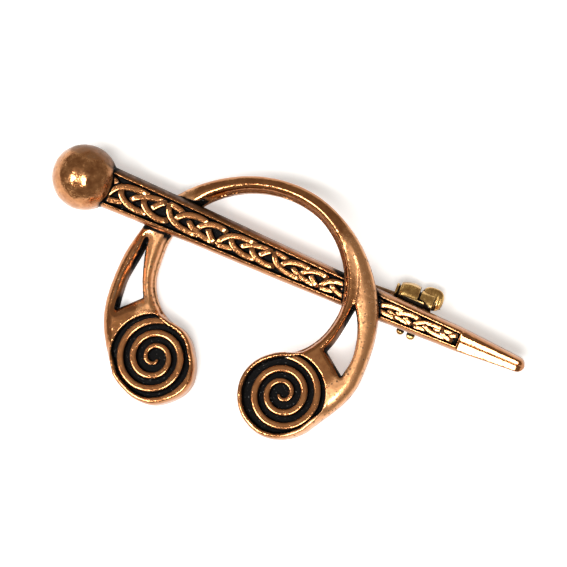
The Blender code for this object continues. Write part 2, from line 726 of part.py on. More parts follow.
def make_sleeve():
    """Slotted tube with a stop at one end and a head with a thumb lever at the other."""
    depth = pin_depth()
    front = CATCH_X - HOUSING_LENGTH / 2 - END_CLEARANCE
    reach = sleeve_end()
    back = reach - SLEEVE_HEAD_LENGTH
    outer = HOUSING_RADIUS - HOUSING_WALL - SLEEVE_CLEARANCE
    sleeve = add_object("catch_sleeve", cylinder_mesh(
        "catch_sleeve", outer, front - SLEEVE_STOP_LENGTH / 2, back + SLEEVE_HEAD_LENGTH / 2,
        "X", TUBE_SIDES), PARTS, HINGE, BRASS)
    sleeve.location = (0, 0, -depth)
    for name, start, end in (("stop", front - SLEEVE_STOP_LENGTH, front), ("head", back, reach)):
        flange = add_cutter(name, cylinder_mesh(name, SLEEVE_FLANGE_RADIUS, start, end, "X"),
                            sleeve)
        boolean(sleeve, flange, "UNION")
    lever = add_cutter("lever", cylinder_mesh("lever", LEVER_RADIUS, -LEVER_THICKNESS / 2,
                                              LEVER_THICKNESS / 2), sleeve)
    lever.location = (back + LEVER_RADIUS, LEVER_REACH - LEVER_RADIUS, 0)
    trim = add_cutter("lever_trim", box_mesh(
        "lever_trim", (front, -LEVER_REACH, -LEVER_THICKNESS),
        (reach + LEVER_REACH, LEVER_ROOT, LEVER_THICKNESS)), sleeve)
    boolean(lever, trim, "DIFFERENCE")
    boolean(sleeve, lever, "UNION")
    bore = add_cutter("sleeve_bore", cylinder_mesh(
        "sleeve_bore", slot_half() + SLOT_ROOM, front - LEVER_REACH, reach + LEVER_REACH, "X"),
        sleeve)
    boolean(sleeve, bore, "DIFFERENCE")
    slot = add_cutter("sleeve_slot", box_mesh(
        "sleeve_slot", (front - LEVER_REACH, -slot_half(), -2 * SLEEVE_FLANGE_RADIUS),
        (reach + LEVER_REACH, slot_half(), 0)), sleeve)
    boolean(sleeve, slot, "DIFFERENCE")
    return sleeve


# Rest on the table

def world_shape(item, graph):
    """World points and triangles of one finished piece."""
    mesh = item.evaluated_get(graph).to_mesh()
    mesh.calc_loop_triangles()
    points = np.array([item.matrix_world @ vert.co for vert in mesh.vertices])
    faces = np.array([tri.vertices[:] for tri in mesh.loop_triangles])
    item.evaluated_get(graph).to_mesh_clear()
    return points, faces


def measure(items):
    """All points and the centre of mass, every piece being of like metal."""
    bpy.context.view_layer.update()
    graph = bpy.context.evaluated_depsgraph_get()
    clouds = []
    volume = 0.0
    moment = np.zeros(3)
    for item in items:
        points, faces = world_shape(item, graph)
        a, b, c = (points[faces[:, k]] for k in range(3))
        parts = np.einsum("ij,ij->i", a, np.cross(b, c)) / 6
        volume += parts.sum()
        moment += ((a + b + c) / 4 * parts[:, None]).sum(axis=0)
        clouds.append(points)
    return np.concatenate(clouds), moment / volume


def face_below(points, centre):
    """Normal of the hull's face straight under the centre of mass."""
    shape = bmesh.new()
    for point in points:
        shape.verts.new(point)
    bmesh.ops.convex_hull(shape, input=shape.verts)
    tree = BVHTree.FromBMesh(shape)
    normal = tree.ray_cast(Vector(centre), Vector((0, 0, -1)))[1]
    shape.free()
    return normal if normal.z < 0 else -normal


def lie_down(items):
    """Turn the brooch onto the three points it rests on, its bar along X."""
    points, centre = measure(items)
    turn = Matrix.Identity(3)
    for _ in range(SETTLE_STEPS):
        turned = points @ np.array(turn).T
        normal = face_below(turned, np.array(turn) @ centre)
        if normal.angle(Vector((0, 0, -1))) < SETTLE_ANGLE:
            break
        turn = normal.rotation_difference(Vector((0, 0, -1))).to_matrix() @ turn
    along = turn @ Vector((1, 0, 0))
    turn = Matrix.Rotation(-math.atan2(along.y, along.x), 3, "Z") @ turn
    turned = points @ np.array(turn).T
    low, high = turned.min(axis=0), turned.max(axis=0)
    shift = Vector((-(low[0] + high[0]) / 2, -(low[1] + high[1]) / 2, -low[2]))
    BROOCH.matrix_world = Matrix.Translation(shift) @ turn.to_4x4()
    bpy.context.view_layer.update()


clear_scene()
PARTS = make_collection("penannular_brooch")
CUTTERS = make_collection("cutters")
BANDS = make_collection("bands")
COPPER = make_material("antiqued_copper", (0.56, 0.27, 0.13), 0.30)
BRASS = make_material("catch_brass", (0.62, 0.42, 0.16), 0.32)
STEEL = make_material("needle_wire", (0.60, 0.52, 0.42), 0.25)

BROOCH = add_object("brooch", None, PARTS)
HOOP = add_object("hoop_place", None, PARTS, BROOCH)
HOOP.matrix_local = hoop_place()
HINGE = add_object("pin_place", None, PARTS, BROOCH)
HINGE.location = (HINGE_X, HINGE_Y, 0)
HINGE.rotation_euler = (0, 0, math.radians(PIN_SKEW))

casting = make_bar()
make_saddle(casting)
boolean(casting, make_hoop(), "UNION", "MANIFOLD")
boolean(casting, make_ball(), "UNION")
carve_knots(casting)
pieces = [casting, make_bracket(), make_rivet(), make_needle(), make_housing(), make_sleeve()]
lie_down(pieces)
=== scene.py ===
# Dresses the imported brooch: one detailed casting, the brass pin findings behind it,
# aged copper, brass and wire finishes, and a pale table under soft studio light.
# The casting is built in millimetres, fused, aged, and then brought down to metres.

import json
import math
import time

import bmesh
import bpy
import numpy as np
from mathutils import Matrix, Vector
from mathutils.geometry import delaunay_2d_cdt
from mathutils.kdtree import KDTree


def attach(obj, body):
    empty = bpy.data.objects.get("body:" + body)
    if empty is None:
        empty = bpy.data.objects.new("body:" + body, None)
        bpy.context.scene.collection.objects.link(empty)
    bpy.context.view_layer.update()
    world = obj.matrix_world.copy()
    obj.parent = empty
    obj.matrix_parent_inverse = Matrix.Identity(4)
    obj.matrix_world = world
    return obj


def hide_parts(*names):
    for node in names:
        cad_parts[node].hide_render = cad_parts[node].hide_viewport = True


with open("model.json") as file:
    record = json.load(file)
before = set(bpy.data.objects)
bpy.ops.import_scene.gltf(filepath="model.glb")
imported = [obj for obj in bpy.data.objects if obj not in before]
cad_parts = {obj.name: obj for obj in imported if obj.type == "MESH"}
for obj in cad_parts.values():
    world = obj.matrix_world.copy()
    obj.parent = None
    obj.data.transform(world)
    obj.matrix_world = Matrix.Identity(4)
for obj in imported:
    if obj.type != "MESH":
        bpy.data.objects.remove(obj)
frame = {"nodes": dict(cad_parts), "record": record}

startTime = time.time()
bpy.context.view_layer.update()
record = frame["record"]
mounts = {item["name"]: item for item in record["mounts"]}
joints = {item["name"]: item for item in record["behaviour"]["joints"]}
scene = bpy.context.scene
mm = 0.001
sides = (-1, 1)  # the hoop's left and right


def report(text):
    print(f"{time.time() - startTime:6.1f} s  {text}")


# Places: the hoop's, the bar's and the pin's own axes, taken from the record

pinFacts = {
    "hingeX": 22.0,         # rivet, along the bar from the ball's centre
    "hingeY": 0.2,
    "skew": 4.0,            # the needle's turn towards the catch, in degrees
    "depth": 2.9,           # axis of the needle below the bar's back
}


def placeFrom(origin, axisX, axisZ):
    x = Vector(axisX).normalized()
    z = Vector(axisZ).normalized()
    y = z.cross(x).normalized()
    turn = Matrix((x, y, x.cross(y))).transposed()
    return Matrix.Translation(Vector(origin)) @ turn.to_4x4()


def hoopPlaceFor(thickness):
    left = Vector(mounts["left_terminal_back"]["pos_m"]) / mm
    right = Vector(mounts["right_terminal_back"]["pos_m"]) / mm
    up = -Vector(mounts["left_terminal_back"]["axis"])
    return placeFrom((left + right) / 2 + up * thickness / 2, right - left, up)


def pinPlaceFor(facts):
    along = Vector(joints["sleeve_turn"]["axis"])
    up = along.cross(Vector(joints["needle_hinge"]["axis"]))
    origin = Vector(joints["needle_hinge"]["pos_m"]) / mm + up.normalized() * facts["depth"]
    return placeFrom(origin, along, up)


def barPlaceFor(pinPlace, facts):
    back = Matrix.Rotation(math.radians(-facts["skew"]), 4, "Z")
    return pinPlace @ back @ Matrix.Translation((-facts["hingeX"], -facts["hingeY"], 0))


# Shared mesh helpers, all in millimetres

def meshFrom(name, points, faces):
    mesh = bpy.data.meshes.new(name)
    mesh.from_pydata([tuple(point) for point in points], [], faces)
    mesh.update()
    return mesh


def addObject(name, data):
    item = bpy.data.objects.new(name, data)
    scene.collection.objects.link(item)
    return item


def edited(mesh, edit):
    shape = bmesh.new()
    shape.from_mesh(mesh)
    edit(shape)
    shape.to_mesh(mesh)
    shape.free()
    return mesh


def turnOutward(shape):
    bmesh.ops.recalc_face_normals(shape, faces=shape.faces)


def loft(rings):
    # a closed skin over rings of points
    count = len(rings[0])
    points = [point for ring in rings for point in ring]
    faces = []
    for row in range(len(rings) - 1):
        for k in range(count):
            a, b = row * count + k, row * count + (k + 1) % count
            faces.append((a, b, b + count, a + count))
    faces.append(tuple(range(count))[::-1])
    faces.append(tuple(range(len(points) - count, len(points))))
    return edited(meshFrom("loft", points, faces), turnOutward)


def boxLoft(low, high):
    (x0, y0, z0), (x1, y1, z1) = low, high
    return loft([[(x0, y0, z), (x1, y0, z), (x1, y1, z), (x0, y1, z)] for z in (z0, z1)])


def facetedBall(radius, centre, facets, place, rings=96):
    # a ball with a few flats knocked into it
    mesh = edited(bpy.data.meshes.new("ball"), lambda shape: bmesh.ops.create_uvsphere(
        shape, u_segments=2 * rings, v_segments=rings, radius=radius, matrix=Matrix.Translation(centre)))
    for way, depth in facets:
        normal = (place.to_3x3() @ Vector(way)).normalized()
        for point in mesh.vertices:
            over = (point.co - Vector(centre)).dot(normal) - (radius - depth)
            if over > 0:
                point.co -= normal * over
    return mesh


def storeValues(mesh, name, values):
    spread = np.zeros(len(mesh.vertices)) + values
    mesh.attributes.new(name, "FLOAT", "POINT").data.foreach_set("value", spread)


def placed(mesh, place):
    mesh.transform(place)
    return mesh


def finished(item, name):
    # the modifiers' result as a plain mesh
    graph = bpy.context.evaluated_depsgraph_get()
    mesh = bpy.data.meshes.new_from_object(item.evaluated_get(graph))
    mesh.name = name
    bpy.data.objects.remove(item)
    return mesh


def joined(name, meshes):
    def gather(shape):
        for mesh in meshes:
            shape.from_mesh(mesh)

    return edited(bpy.data.meshes.new(name), gather)


def dropCrumbs(shape, least=60):
    # the tiny closed bubbles that fusing can leave inside
    seen, crumbs = set(), []
    for first in shape.verts:
        if first in seen:
            continue
        seen.add(first)
        island, front = [first], [first]
        while front:
            point = front.pop()
            fresh = [link.other_vert(point) for link in point.link_edges]
            fresh = [other for other in fresh if other not in seen]
            seen.update(fresh)
            island += fresh
            front += fresh
        if len(island) < least:
            crumbs += island
    bmesh.ops.delete(shape, geom=crumbs, context="VERTS")


def fused(name, meshes, voxel, limit):
    # one closed skin round overlapping bodies, thinned where it is flat
    item = addObject(name, joined(name, meshes))
    remesh = item.modifiers.new("fuse", "REMESH")
    remesh.mode = "VOXEL"
    remesh.voxel_size = voxel
    mesh = edited(finished(item, name), dropCrumbs)
    mesh.calc_loop_triangles()
    triangles = len(mesh.loop_triangles)
    if triangles > limit:
        item = addObject(name, mesh)
        item.modifiers.new("thin", "DECIMATE").ratio = limit / triangles
        mesh = finished(item, name)
    report(f"{name}: {triangles} triangles fused, {len(mesh.polygons)} kept")
    return mesh


def smoothPath(points, perSpan=12):
    # Catmull-Rom through a few chosen points
    chosen = [np.array(point, float) for point in points]
    ends = [2 * chosen[0] - chosen[1], *chosen, 2 * chosen[-1] - chosen[-2]]
    path = []
    for a, b, c, d in zip(ends, ends[1:], ends[2:], ends[3:]):
        for t in np.linspace(0, 1, perSpan, endpoint=False):
            path.append((2 * b + (c - a) * t + (2 * a - 5 * b + 4 * c - d) * t ** 2
                         + (3 * b - 3 * c + d - a) * t ** 3) / 2)
    return np.array(path + [chosen[-1]])


def smoothStep(value):
    t = np.clip(value, 0.0, 1.0)
    return t * t * (3 - 2 * t)


def above(value, level, blur):
    # 0 under the level, rising to 1 over the blur; below does the reverse
    return smoothStep((value - level) / blur)


def below(value, level, blur):
    return smoothStep((level - value) / blur)


def lengths(vectors):
    return np.linalg.norm(vectors, axis=1)


# Node helpers; a node given as a value stands for its first output

socketKinds = {float: "Float", bool: "Bool", tuple: "Vector"}


def feed(tree, node, values):
    for label, value in dict(values).items():
        if isinstance(value, bpy.types.Node):
            value = value.outputs[0]
        if isinstance(value, bpy.types.NodeSocket):
            tree.links.new(value, node.inputs[label])
        else:
            node.inputs[label].default_value = value
    return node


def nodeMaker(tree, prefix="ShaderNode"):
    def make(kind, values=(), **settings):
        node = tree.nodes.new(prefix + kind)
        for key, value in settings.items():
            setattr(node, key, value)
        return feed(tree, node, values)

    return make


def newTree(name, inputs):
    # a geometry tree; each input has its first value, or the name of its kind
    tree = bpy.data.node_groups.new(name, "GeometryNodeTree")
    for label, start in inputs.items():
        kind = start if isinstance(start, str) else socketKinds[type(start)]
        socket = tree.interface.new_socket(label, in_out="INPUT", socket_type="NodeSocket" + kind)
        if kind != start:
            socket.default_value = start
    tree.interface.new_socket("Geometry", in_out="OUTPUT", socket_type="NodeSocketGeometry")
    entry = tree.nodes.new("NodeGroupInput").outputs
    return tree, entry, nodeMaker(tree, "GeometryNode"), nodeMaker(tree)


def closeTree(tree, geometry, material):
    geo = nodeMaker(tree, "GeometryNode")
    real = geo("RealizeInstances", {"Geometry": geometry})
    painted = geo("SetMaterial", {"Geometry": real, "Material": material})
    feed(tree, tree.nodes.new("NodeGroupOutput"), {0: painted})
    return tree


def grown(name, mesh, tree, values):
    # runs a tree on a mesh and returns the plain result
    item = addObject(name, mesh)
    modifier = item.modifiers.new(name, "NODES")
    modifier.node_group = tree
    for socket in tree.interface.items_tree:
        if socket.item_type == "SOCKET" and socket.in_out == "INPUT" and socket.name in values:
            modifier[socket.identifier] = values[socket.name]
    return finished(item, name)


def sweepAlong(tree, entry, geo, curve, scale, rounds, count):
    # a flat-topped section with rounded edges, swept along a level curve; the sweep turns it over
    section = geo("CurvePrimitiveQuadrilateral", {
        "Bottom Width": entry["Top Width"], "Top Width": entry["Width"], "Height": entry["Height"],
        "Offset": 0.0}, mode="TRAPEZOID")
    soft = geo("FilletCurve", {"Curve": section, "Count": rounds, "Radius": entry["Rounding"],
                               "Limit Radius": True}, mode="POLY")
    finer = geo("ResampleCurve", {"Curve": soft, "Count": count})
    level = geo("SetCurveNormal", {"Curve": curve}, mode="Z_UP")
    sweep = geo("CurveToMesh", {"Curve": level, "Profile Curve": finer, "Scale": scale, "Fill Caps": True})
    return closeTree(tree, sweep, entry["Material"])


def ribbonTree():
    # a ribbon along every path of a mesh; "girth" scales it
    tree, entry, geo, _ = newTree("ribbonAlongPaths", {
        "Geometry": "Geometry", **ribbonSection, "Step": 0.14, "Material": "Material"})
    path = geo("MeshToCurve", {"Mesh": entry["Geometry"]})
    even = geo("ResampleCurve", {"Curve": path, "Length": entry["Step"]}, mode="LENGTH")
    girth = geo("InputNamedAttribute", {"Name": "girth"}, data_type="FLOAT")
    return sweepAlong(tree, entry, geo, even, girth.outputs["Attribute"], 3, 28)


def spiralTree():
    # one coiled ridge, thinner at both ends
    tree, entry, geo, op = newTree("spiralRidge", {
        "Geometry": "Geometry", "Turns": 3.0, "Inner Radius": 1.0, "Outer Radius": 6.0,
        "Anticlockwise": False, "Start Angle": 0.0, "Centre": (0.0, 0.0, 0.0), "Eye Shift": (0.0, 0.0, 0.0),
        **ridgeSection, "Material": "Material"})
    coil = geo("CurveSpiral", {
        "Resolution": 72, "Rotations": entry["Turns"], "Start Radius": entry["Inner Radius"],
        "End Radius": entry["Outer Radius"], "Height": 0.0, "Reverse": entry["Anticlockwise"]})
    turned = geo("Transform", {
        "Geometry": coil, "Rotation": op("CombineXYZ", {"Z": entry["Start Angle"]}),
        "Translation": entry["Centre"]})
    along = geo("SplineParameter").outputs["Factor"]
    inward = op("MapRange", {"Value": along, "From Max": 0.6, "To Min": 1.0, "To Max": 0.0})
    sinking = op("MapRange", {"Value": along, "From Min": 0.94, "To Max": -0.05})
    shift = op("VectorMath", {0: entry["Eye Shift"], "Scale": inward}, operation="SCALE")
    offset = op("VectorMath", {0: shift, 1: op("CombineXYZ", {"Z": sinking})}, operation="ADD")
    eased = geo("SetPosition", {"Geometry": turned, "Offset": offset})
    swell = op("FloatCurve", {"Value": along})
    curve = swell.mapping.curves[0].points
    curve[0].location = (0.0, 0.40)
    curve[1].location = (1.0, 0.42)
    for spot in ((0.10, 0.72), (0.30, 0.96), (0.93, 1.0)):
        curve.new(*spot)
    swell.mapping.update()
    return sweepAlong(tree, entry, geo, eased, swell, 4, 36)


# Bar: tapering, with a sunk channel between two rounded rims, and a plain blade

bar = {
    "ballRadius": 4.95,
    "ballLift": 1.2,
    "ballFacets": (((0.506, 0.02, 0.86), 0.17), ((0.056, -0.21, 0.976), 0.05), ((0.03, -0.56, 0.83), 0.06),
                   ((-0.30, -0.16, 0.94), 0.04)),  # directions in the bar's frame, and how deep each is cut
    "length": 71.65,
    "thickness": 2.8,
    "edgeHeight": 1.0,
    "widths": ((4.0, 6.36), (36.0, 5.04), (61.05, 3.72)),
    "tipWidth": 2.32,
    "sway": ((0.0, 0.0), (20.0, 0.02), (32.0, -0.14), (60.0, -0.18), (71.0, -0.08)),
    "sideSlope": 0.50,
    "tipRounding": 1.1,
    "neck": 61.05,          # where the plain blade starts
    "channelStart": 4.0,
    "channelEnds": ((0.15, 0.3), (-0.1, 0.2)),  # past the neck and at the start, and how long each fades
    "channelDepth": 1.0,
    "rim": 0.40,
    "draft": 0.12,
    "rimSlope": 0.62,       # convex outer part of each rim, seen from above
    "tipDrop": 1.25,
    "saddle": (43.0, 46.0),
    "backRounding": ((0.14, 0.0), (0.04, 0.04), (0.0, 0.15)),  # in from the side, and up
    "ringStep": 0.08,
    "pointStep": 0.18,
    "bladeSlope": {1: 0.60, -1: 0.20},  # upper and lower edge slopes of the blade, against half its width
    "bladeLean": 0.105,     # fall of the blade's two facets towards the lower edge
    "bladeLine": (-0.06, 0.16, 0.13),  # place, half width and depth of the line between them
    "edgeTurns": (12, 26, 40, 55, 70, 82),  # degrees round the rounded edge
}


def barWidth(x):
    if x <= bar["neck"]:
        width = np.interp(x, *zip(*bar["widths"]))
    else:
        width = np.interp(x, (bar["neck"], bar["length"] - bar["tipRounding"]),
                          (bar["widths"][-1][1], bar["tipWidth"]))
    intoTip = (x - bar["length"] + bar["tipRounding"]) / bar["tipRounding"]
    if intoTip > 0:
        width *= math.sqrt(max(0.05, 1 - intoTip ** 2))
    return float(width)


def barSway(x):
    # the cast bar isn't quite straight
    return np.interp(np.asarray(x)[..., None] + np.linspace(-5, 5, 5), *zip(*bar["sway"])).mean(axis=-1)


def channelHalf(x):
    return barWidth(x) / 2 - bar["sideSlope"] - bar["rim"]


def barRing(x):
    # a section from the middle of the back, up the upper edge and down the lower one
    half = barWidth(x) / 2
    tip = max(0.0, (x - bar["length"] + 1.4 * bar["tipRounding"]) / (1.4 * bar["tipRounding"]))
    top = bar["thickness"] - bar["tipDrop"] * tip ** 3
    (past, fade), (before, startFade) = bar["channelEnds"]
    cut = float(below(x, bar["neck"] + past, fade) * above(x, bar["channelStart"] + before, startFade))
    blade = float(above(x, bar["neck"] + 0.1, 0.4))
    depth = bar["channelDepth"] * cut
    rim = bar["rim"] + (bar["sideSlope"] - bar["rimSlope"])
    inner = max(half - bar["rimSlope"] - rim, 0.12 * half)
    edge = min(bar["edgeHeight"], 0.6 * top)
    lineAt, lineHalf, lineDepth = bar["bladeLine"]
    upperCrest = half * (1 - bar["bladeSlope"][1])

    def facet(y):
        return top - bar["bladeLean"] * (1 - tip ** 3) * (upperCrest - y)

    def edgeSide(way):
        # points from the back to beside the middle, blended between channel and blade
        crest = inner + 0.12
        bladeCrest = half * (1 - bar["bladeSlope"][way])
        crestHeight = top + (facet(way * bladeCrest) - top) * blade
        crest += (bladeCrest - crest) * blade
        points = [(half - inset, z) for inset, z in bar["backRounding"]] + [(half, edge)]
        for turn in np.radians(bar["edgeTurns"]):
            share = (1 - math.cos(turn)) ** 0.85
            points.append((half + (crest - half) * share, edge + (crestHeight - edge) * math.sin(turn)))
        # the rim's inner side, from its crest down to the channel's floor
        foot = inner - bar["draft"] * cut - 0.02
        rimPoints = [(inner + 0.09, top), (inner + 0.03, top - 0.04 * cut), (inner, top - 0.25 * depth),
                     (foot, top - depth + 0.06 * cut), (0.5 * inner, top - depth)]
        middle = way * lineAt * half
        for (y, z), share in zip(rimPoints, (0.97, 0.72, 0.48, 0.24, 0.0)):
            onBlade = middle + lineHalf + (bladeCrest - middle - lineHalf) * share
            points.append((y + (onBlade - y) * blade, z + (facet(way * onBlade) - z) * blade))
        return [(way * y, z) for y, z in points]

    sway = float(barSway(x))
    middle = lineAt * half * blade
    floor = top - depth + (facet(middle) - lineDepth * (1 - tip ** 3) - top + depth) * blade
    ring = [(0.0, 0.0), *edgeSide(1), (middle, floor), *edgeSide(-1)[::-1]]
    return [(x, y + sway, z) for y, z in ring]


def barMesh():
    # rings along the bar, close together where its section changes
    neck, start = bar["neck"], bar["channelStart"]
    stations = set()
    for run in (np.arange(2.0, bar["length"] - 1.8, bar["ringStep"]), np.arange(neck - 0.3, neck + 0.6, 0.06),
                np.arange(start - 0.2, start + 0.25, 0.06),
                bar["length"] - bar["tipRounding"] * (1 - np.sin(np.linspace(-1.1, 1.5707, 24)))):
        stations |= set(np.round(run, 3))
    rings = [np.array(barRing(x)) for x in sorted(stations)]
    closed = [np.vstack([ring, ring[:1]]) for ring in (barRing(20.0), barRing(neck + 2.0))]
    spans = np.max([lengths(np.diff(ring, axis=0)) for ring in closed], axis=0)
    shares = [(k, t) for k, span in enumerate(spans)
              for t in np.linspace(0, 1, math.ceil(span / bar["pointStep"]), endpoint=False)]
    return loft([[tuple(ring[k] * (1 - t) + ring[(k + 1) % len(ring)] * t) for k, t in shares]
                 for ring in rings])


knots = {
    "count": 7,
    "shrink": 0.952,
    "taper": 0.80,          # last knot's ribbons against the first's
    "low": 0.76,            # crest of the lowest ribbon above the channel's floor
    "step": 0.12,           # from one ribbon to the one that crosses it
    "dive": 0.22,           # how far a ribbon's hidden ends sink
    "diveRun": 0.16,        # over this share of its length
    "margin": 0.46,
}

ribbonSection = {"Width": 1.26, "Top Width": 0.92, "Height": 0.95, "Rounding": 0.20}

# one knot's ribbons, as shares of its length and the channel's width, and their levels
knotRibbons = (
    (((0.02, 0.95), (0.07, 0.60), (0.17, 0.31), (0.32, 0.14), (0.52, 0.07), (0.67, 0.09)), 1),
    (((0.02, 0.94), (0.14, 0.93), (0.26, 0.85), (0.34, 0.72)), 0),
    (((0.22, 0.33), (0.26, 0.57), (0.37, 0.79), (0.53, 0.91), (0.68, 0.90), (0.77, 0.80)), 2),
    (((0.62, 0.36), (0.66, 0.58), (0.76, 0.79), (0.90, 0.91), (1.02, 0.90), (1.10, 0.80)), 2),
    (((0.42, 0.62), (0.50, 0.40), (0.63, 0.22), (0.80, 0.10), (0.97, 0.05)), 0),
    (((0.78, 0.62), (0.84, 0.40), (0.90, 0.22), (0.97, 0.06)), 1),
)

firstRibbon = (((-0.06, 0.05), (0.03, 0.08), (0.09, 0.15), (0.13, 0.24)), 0)  # runs out from under the ball


def knotPaths():
    # all the ribbons' middle lines as one mesh of open paths
    shares = np.array([knots["shrink"] ** k for k in range(knots["count"])])
    run = bar["neck"] - bar["channelStart"]
    marks = bar["channelStart"] + run * np.concatenate([[0], np.cumsum(shares) / shares.sum()])
    floor = bar["thickness"] - bar["channelDepth"]
    points, edges, girths = [], [], []
    for number, (start, end) in enumerate(zip(marks, marks[1:])):
        flip = -1 if number % 2 == 0 else 1
        girth = 1 + (knots["taper"] - 1) * number / (knots["count"] - 1)
        for shape, level in knotRibbons + ((firstRibbon,) if number == 0 else ()):
            kept = [point for point in shape if start + point[0] * (end - start) < marks[-1]]
            path = smoothPath(kept, 10)
            base = len(points)
            for k, (along, across) in enumerate(path):
                x = start + along * (end - start)
                room = channelHalf(x) - knots["margin"] * girth
                t = k / (len(path) - 1)
                sink = knots["dive"] * (1 - float(smoothStep(min(t, 1 - t) / knots["diveRun"])))
                crest = floor + knots["low"] + knots["step"] * level - sink
                y = 2 * (across - 0.5) * flip * room + float(barSway(x))
                points.append((x, y, crest - ribbonSection["Height"] * girth / 2))
                girths.append(girth)
            edges += [(k - 1, k) for k in range(base + 1, len(points))]
    mesh = bpy.data.meshes.new("knotPaths")
    mesh.from_pydata(points, edges, [])
    storeValues(mesh, "girth", girths)
    return mesh


# Hoop: a domed band that parts into two arms on each side and ends in two discs

hoop = {
    "thickness": 3.0,
    "radius": 20.4,
    "centre": (0.65, 10.4),
    "openingRadius": 14.28,
    "openingCentre": (0.65, 14.33),
    "discCentre": {-1: (-9.65, -0.88), 1: (10.08, -0.32)},
    "discRadius": {-1: 6.42, 1: 6.38},
    "shoulder": (10.0, -260.0),  # degrees at which the opening's circle ends, and the disc's takes over
    "hip": (15.0, -34.0),   # the same for the outer edge
    "sideHeight": 1.65,     # upright part of the edge, above the back
    "outerReach": 1.75,     # how far in the top goes on rising from each kind of edge
    "innerReach": 1.0,
    "windowReach": {-1: 1.7, 1: 0.6},
    "arch": 0.16,           # how far the arms' tops bow up besides
    "archReach": 2.2,
    "discBlend": 1.2,       # over which the arms' edges turn into the disc's
    "rimReach": 0.42,
    "ledge": 0.26,          # step left round the opening by the mould
    "backRounding": 0.60,
    "creaseDepth": 0.32,
    "crest": (0.66, 0.20, 0.11),  # sharp crest beside the left window: distance from its edge, width, height
    "crestEnds": (0.6, 1.5),  # how far it runs past the window's top, and how long its ends fade
    "creaseWidth": (1.0, 0.18),  # towards the inner arm and towards the outer one
    "step": 0.22,           # between the mesh's points
    "edgeStep": 0.05,       # between the points that distances are measured to
    "edgeRows": (0.05, 0.13, 0.23, 0.32, 0.44, 0.62),  # rows of points along each edge
    "edgeClear": 0.04,      # no point is nearer to an edge
}

# how far the cast edges stray from true circles: angle from the side's middle, mm outward
edgeTrims = {
    "outer": {-1: ((-20, 0.85), (-12, 0.52), (-5, 0.16), (0, -0.08), (8, -0.18), (20, -0.4), (35, 0.0),
                   (65, -0.12), (90, 0.0)),
              1: ((-20, 0.62), (-12, 0.28), (-5, 0.06), (0, 0.08), (15, 0.0), (35, -0.22), (55, -0.18),
                  (75, 0.04), (90, 0.0))},
    "opening": {-1: ((-12, 0.3), (-5, 0.16), (2, 0.06), (10, 0.2), (20, 0.1), (45, 0.0), (62, -0.2),
                     (75, -0.3), (90, -0.31)),
                1: ((-12, -0.52), (-5, -0.22), (2, 0.0), (60, 0.0), (75, -0.18), (90, -0.31))},
    "disc": {-1: ((-240, 0.10), (-225, -0.05), (-210, -0.26), (-195, -0.12), (-180, 0.04), (-165, 0.30),
                  (-150, 0.22), (-135, 0.03), (-120, -0.03), (-105, 0.05), (-90, -0.11), (-75, -0.19),
                  (-60, -0.26), (-45, -0.06), (-34, 0.22)),
             1: ((-262, 0.30), (-240, 0.06), (-200, 0.08), (-165, -0.06), (-120, -0.10), (-100, 0.0),
                 (-60, 0.0), (-45, 0.08), (-34, 0.22))},
}

# windows' corners and sides: top, down the outer side, then up the inner side
windowPoints = {
    -1: (((-16.55, 16.5), (-16.9, 14.2), (-17.5, 11.7), (-17.85, 10.0), (-17.92, 7.6), (-17.75, 5.2)),
         ((-14.4, 7.9), (-15.16, 9.75), (-15.8, 12.1), (-16.25, 14.4), (-16.55, 16.5))),
    1: (((16.95, 15.4), (17.9, 13.5), (18.61, 10.96), (18.78, 7.94), (18.05, 5.05)),
        ((14.7, 8.1), (15.63, 10.3), (16.34, 12.97), (16.95, 15.4))),
}

# valley that runs on from the right window, between the two arms
creasePoints = ((16.95, 15.0), (16.75, 17.6), (16.1, 20.2), (14.9, 22.3), (13.2, 24.4))

spirals = {
    "recessCentre": {-1: (-10.22, -0.16), 1: (10.72, 0.12)},
    "rimLeast": 0.78,
    "eye": {-1: (-9.82, -0.34), 1: (10.62, 0.10)},
    "eyeShift": (0.12, 0.12),
    "recessRadius": 6.26,
    "recessDepth": 0.95,
    "recessWall": 0.16,
    "wallRows": (-0.09, -0.03, 0.03, 0.09),  # rows of points along the recess's circle
    "pitch": 1.90,
    "start": 0.55,
    "reach": {-1: 5.70, 1: 5.66},          # radius at which the ridge runs out into the rim
    "endAngle": {-1: 82.0, 1: 106.0},
    "crest": 0.86,          # above the recess's floor
}

ridgeSection = {"Width": 1.36, "Top Width": 0.94, "Height": 1.05, "Rounding": 0.24}


def trimmed(edge, centre, radius, angle, side):
    # a point of a circle, moved out or in as the casting strays, and the way round it
    places, amounts = zip(*edgeTrims[edge][side])
    radius += float(np.interp(angle + np.array((-4, -2, 0, 2, 4)), places, amounts).mean())
    turn = math.radians(angle)
    point = np.array((centre[0] + side * radius * math.cos(turn), centre[1] + radius * math.sin(turn)))
    return point, np.array((side * math.sin(turn), -math.cos(turn)))


def discPoint(side, angle):
    return trimmed("disc", hoop["discCentre"][side], hoop["discRadius"][side], angle, side)


def towardsDisc(edge, centre, radius, low, count, discAngle, heading, side):
    # one side of the hoop from its top down, blended into the disc's circle
    points = [trimmed(edge, centre, radius, angle, side)[0] for angle in np.linspace(90, -low, count)]
    start, way = points[-1], points[-1] - points[-2]
    way = way / np.linalg.norm(way)
    end, endWay = discPoint(side, discAngle)
    reach = np.linalg.norm(end - start)
    for t in np.linspace(0, 1, 30)[1:-1]:
        arrive = 3 * t ** 2 - 2 * t ** 3
        points.append(start * (1 - arrive) + end * arrive + way * (t ** 3 - 2 * t ** 2 + t) * reach
                      + heading * endWay * (t ** 3 - t ** 2) * reach)
    return points


def outerSide(side):
    low, discAngle = hoop["hip"]
    return towardsDisc("outer", hoop["centre"], hoop["radius"], low, 110, discAngle, 1, side)


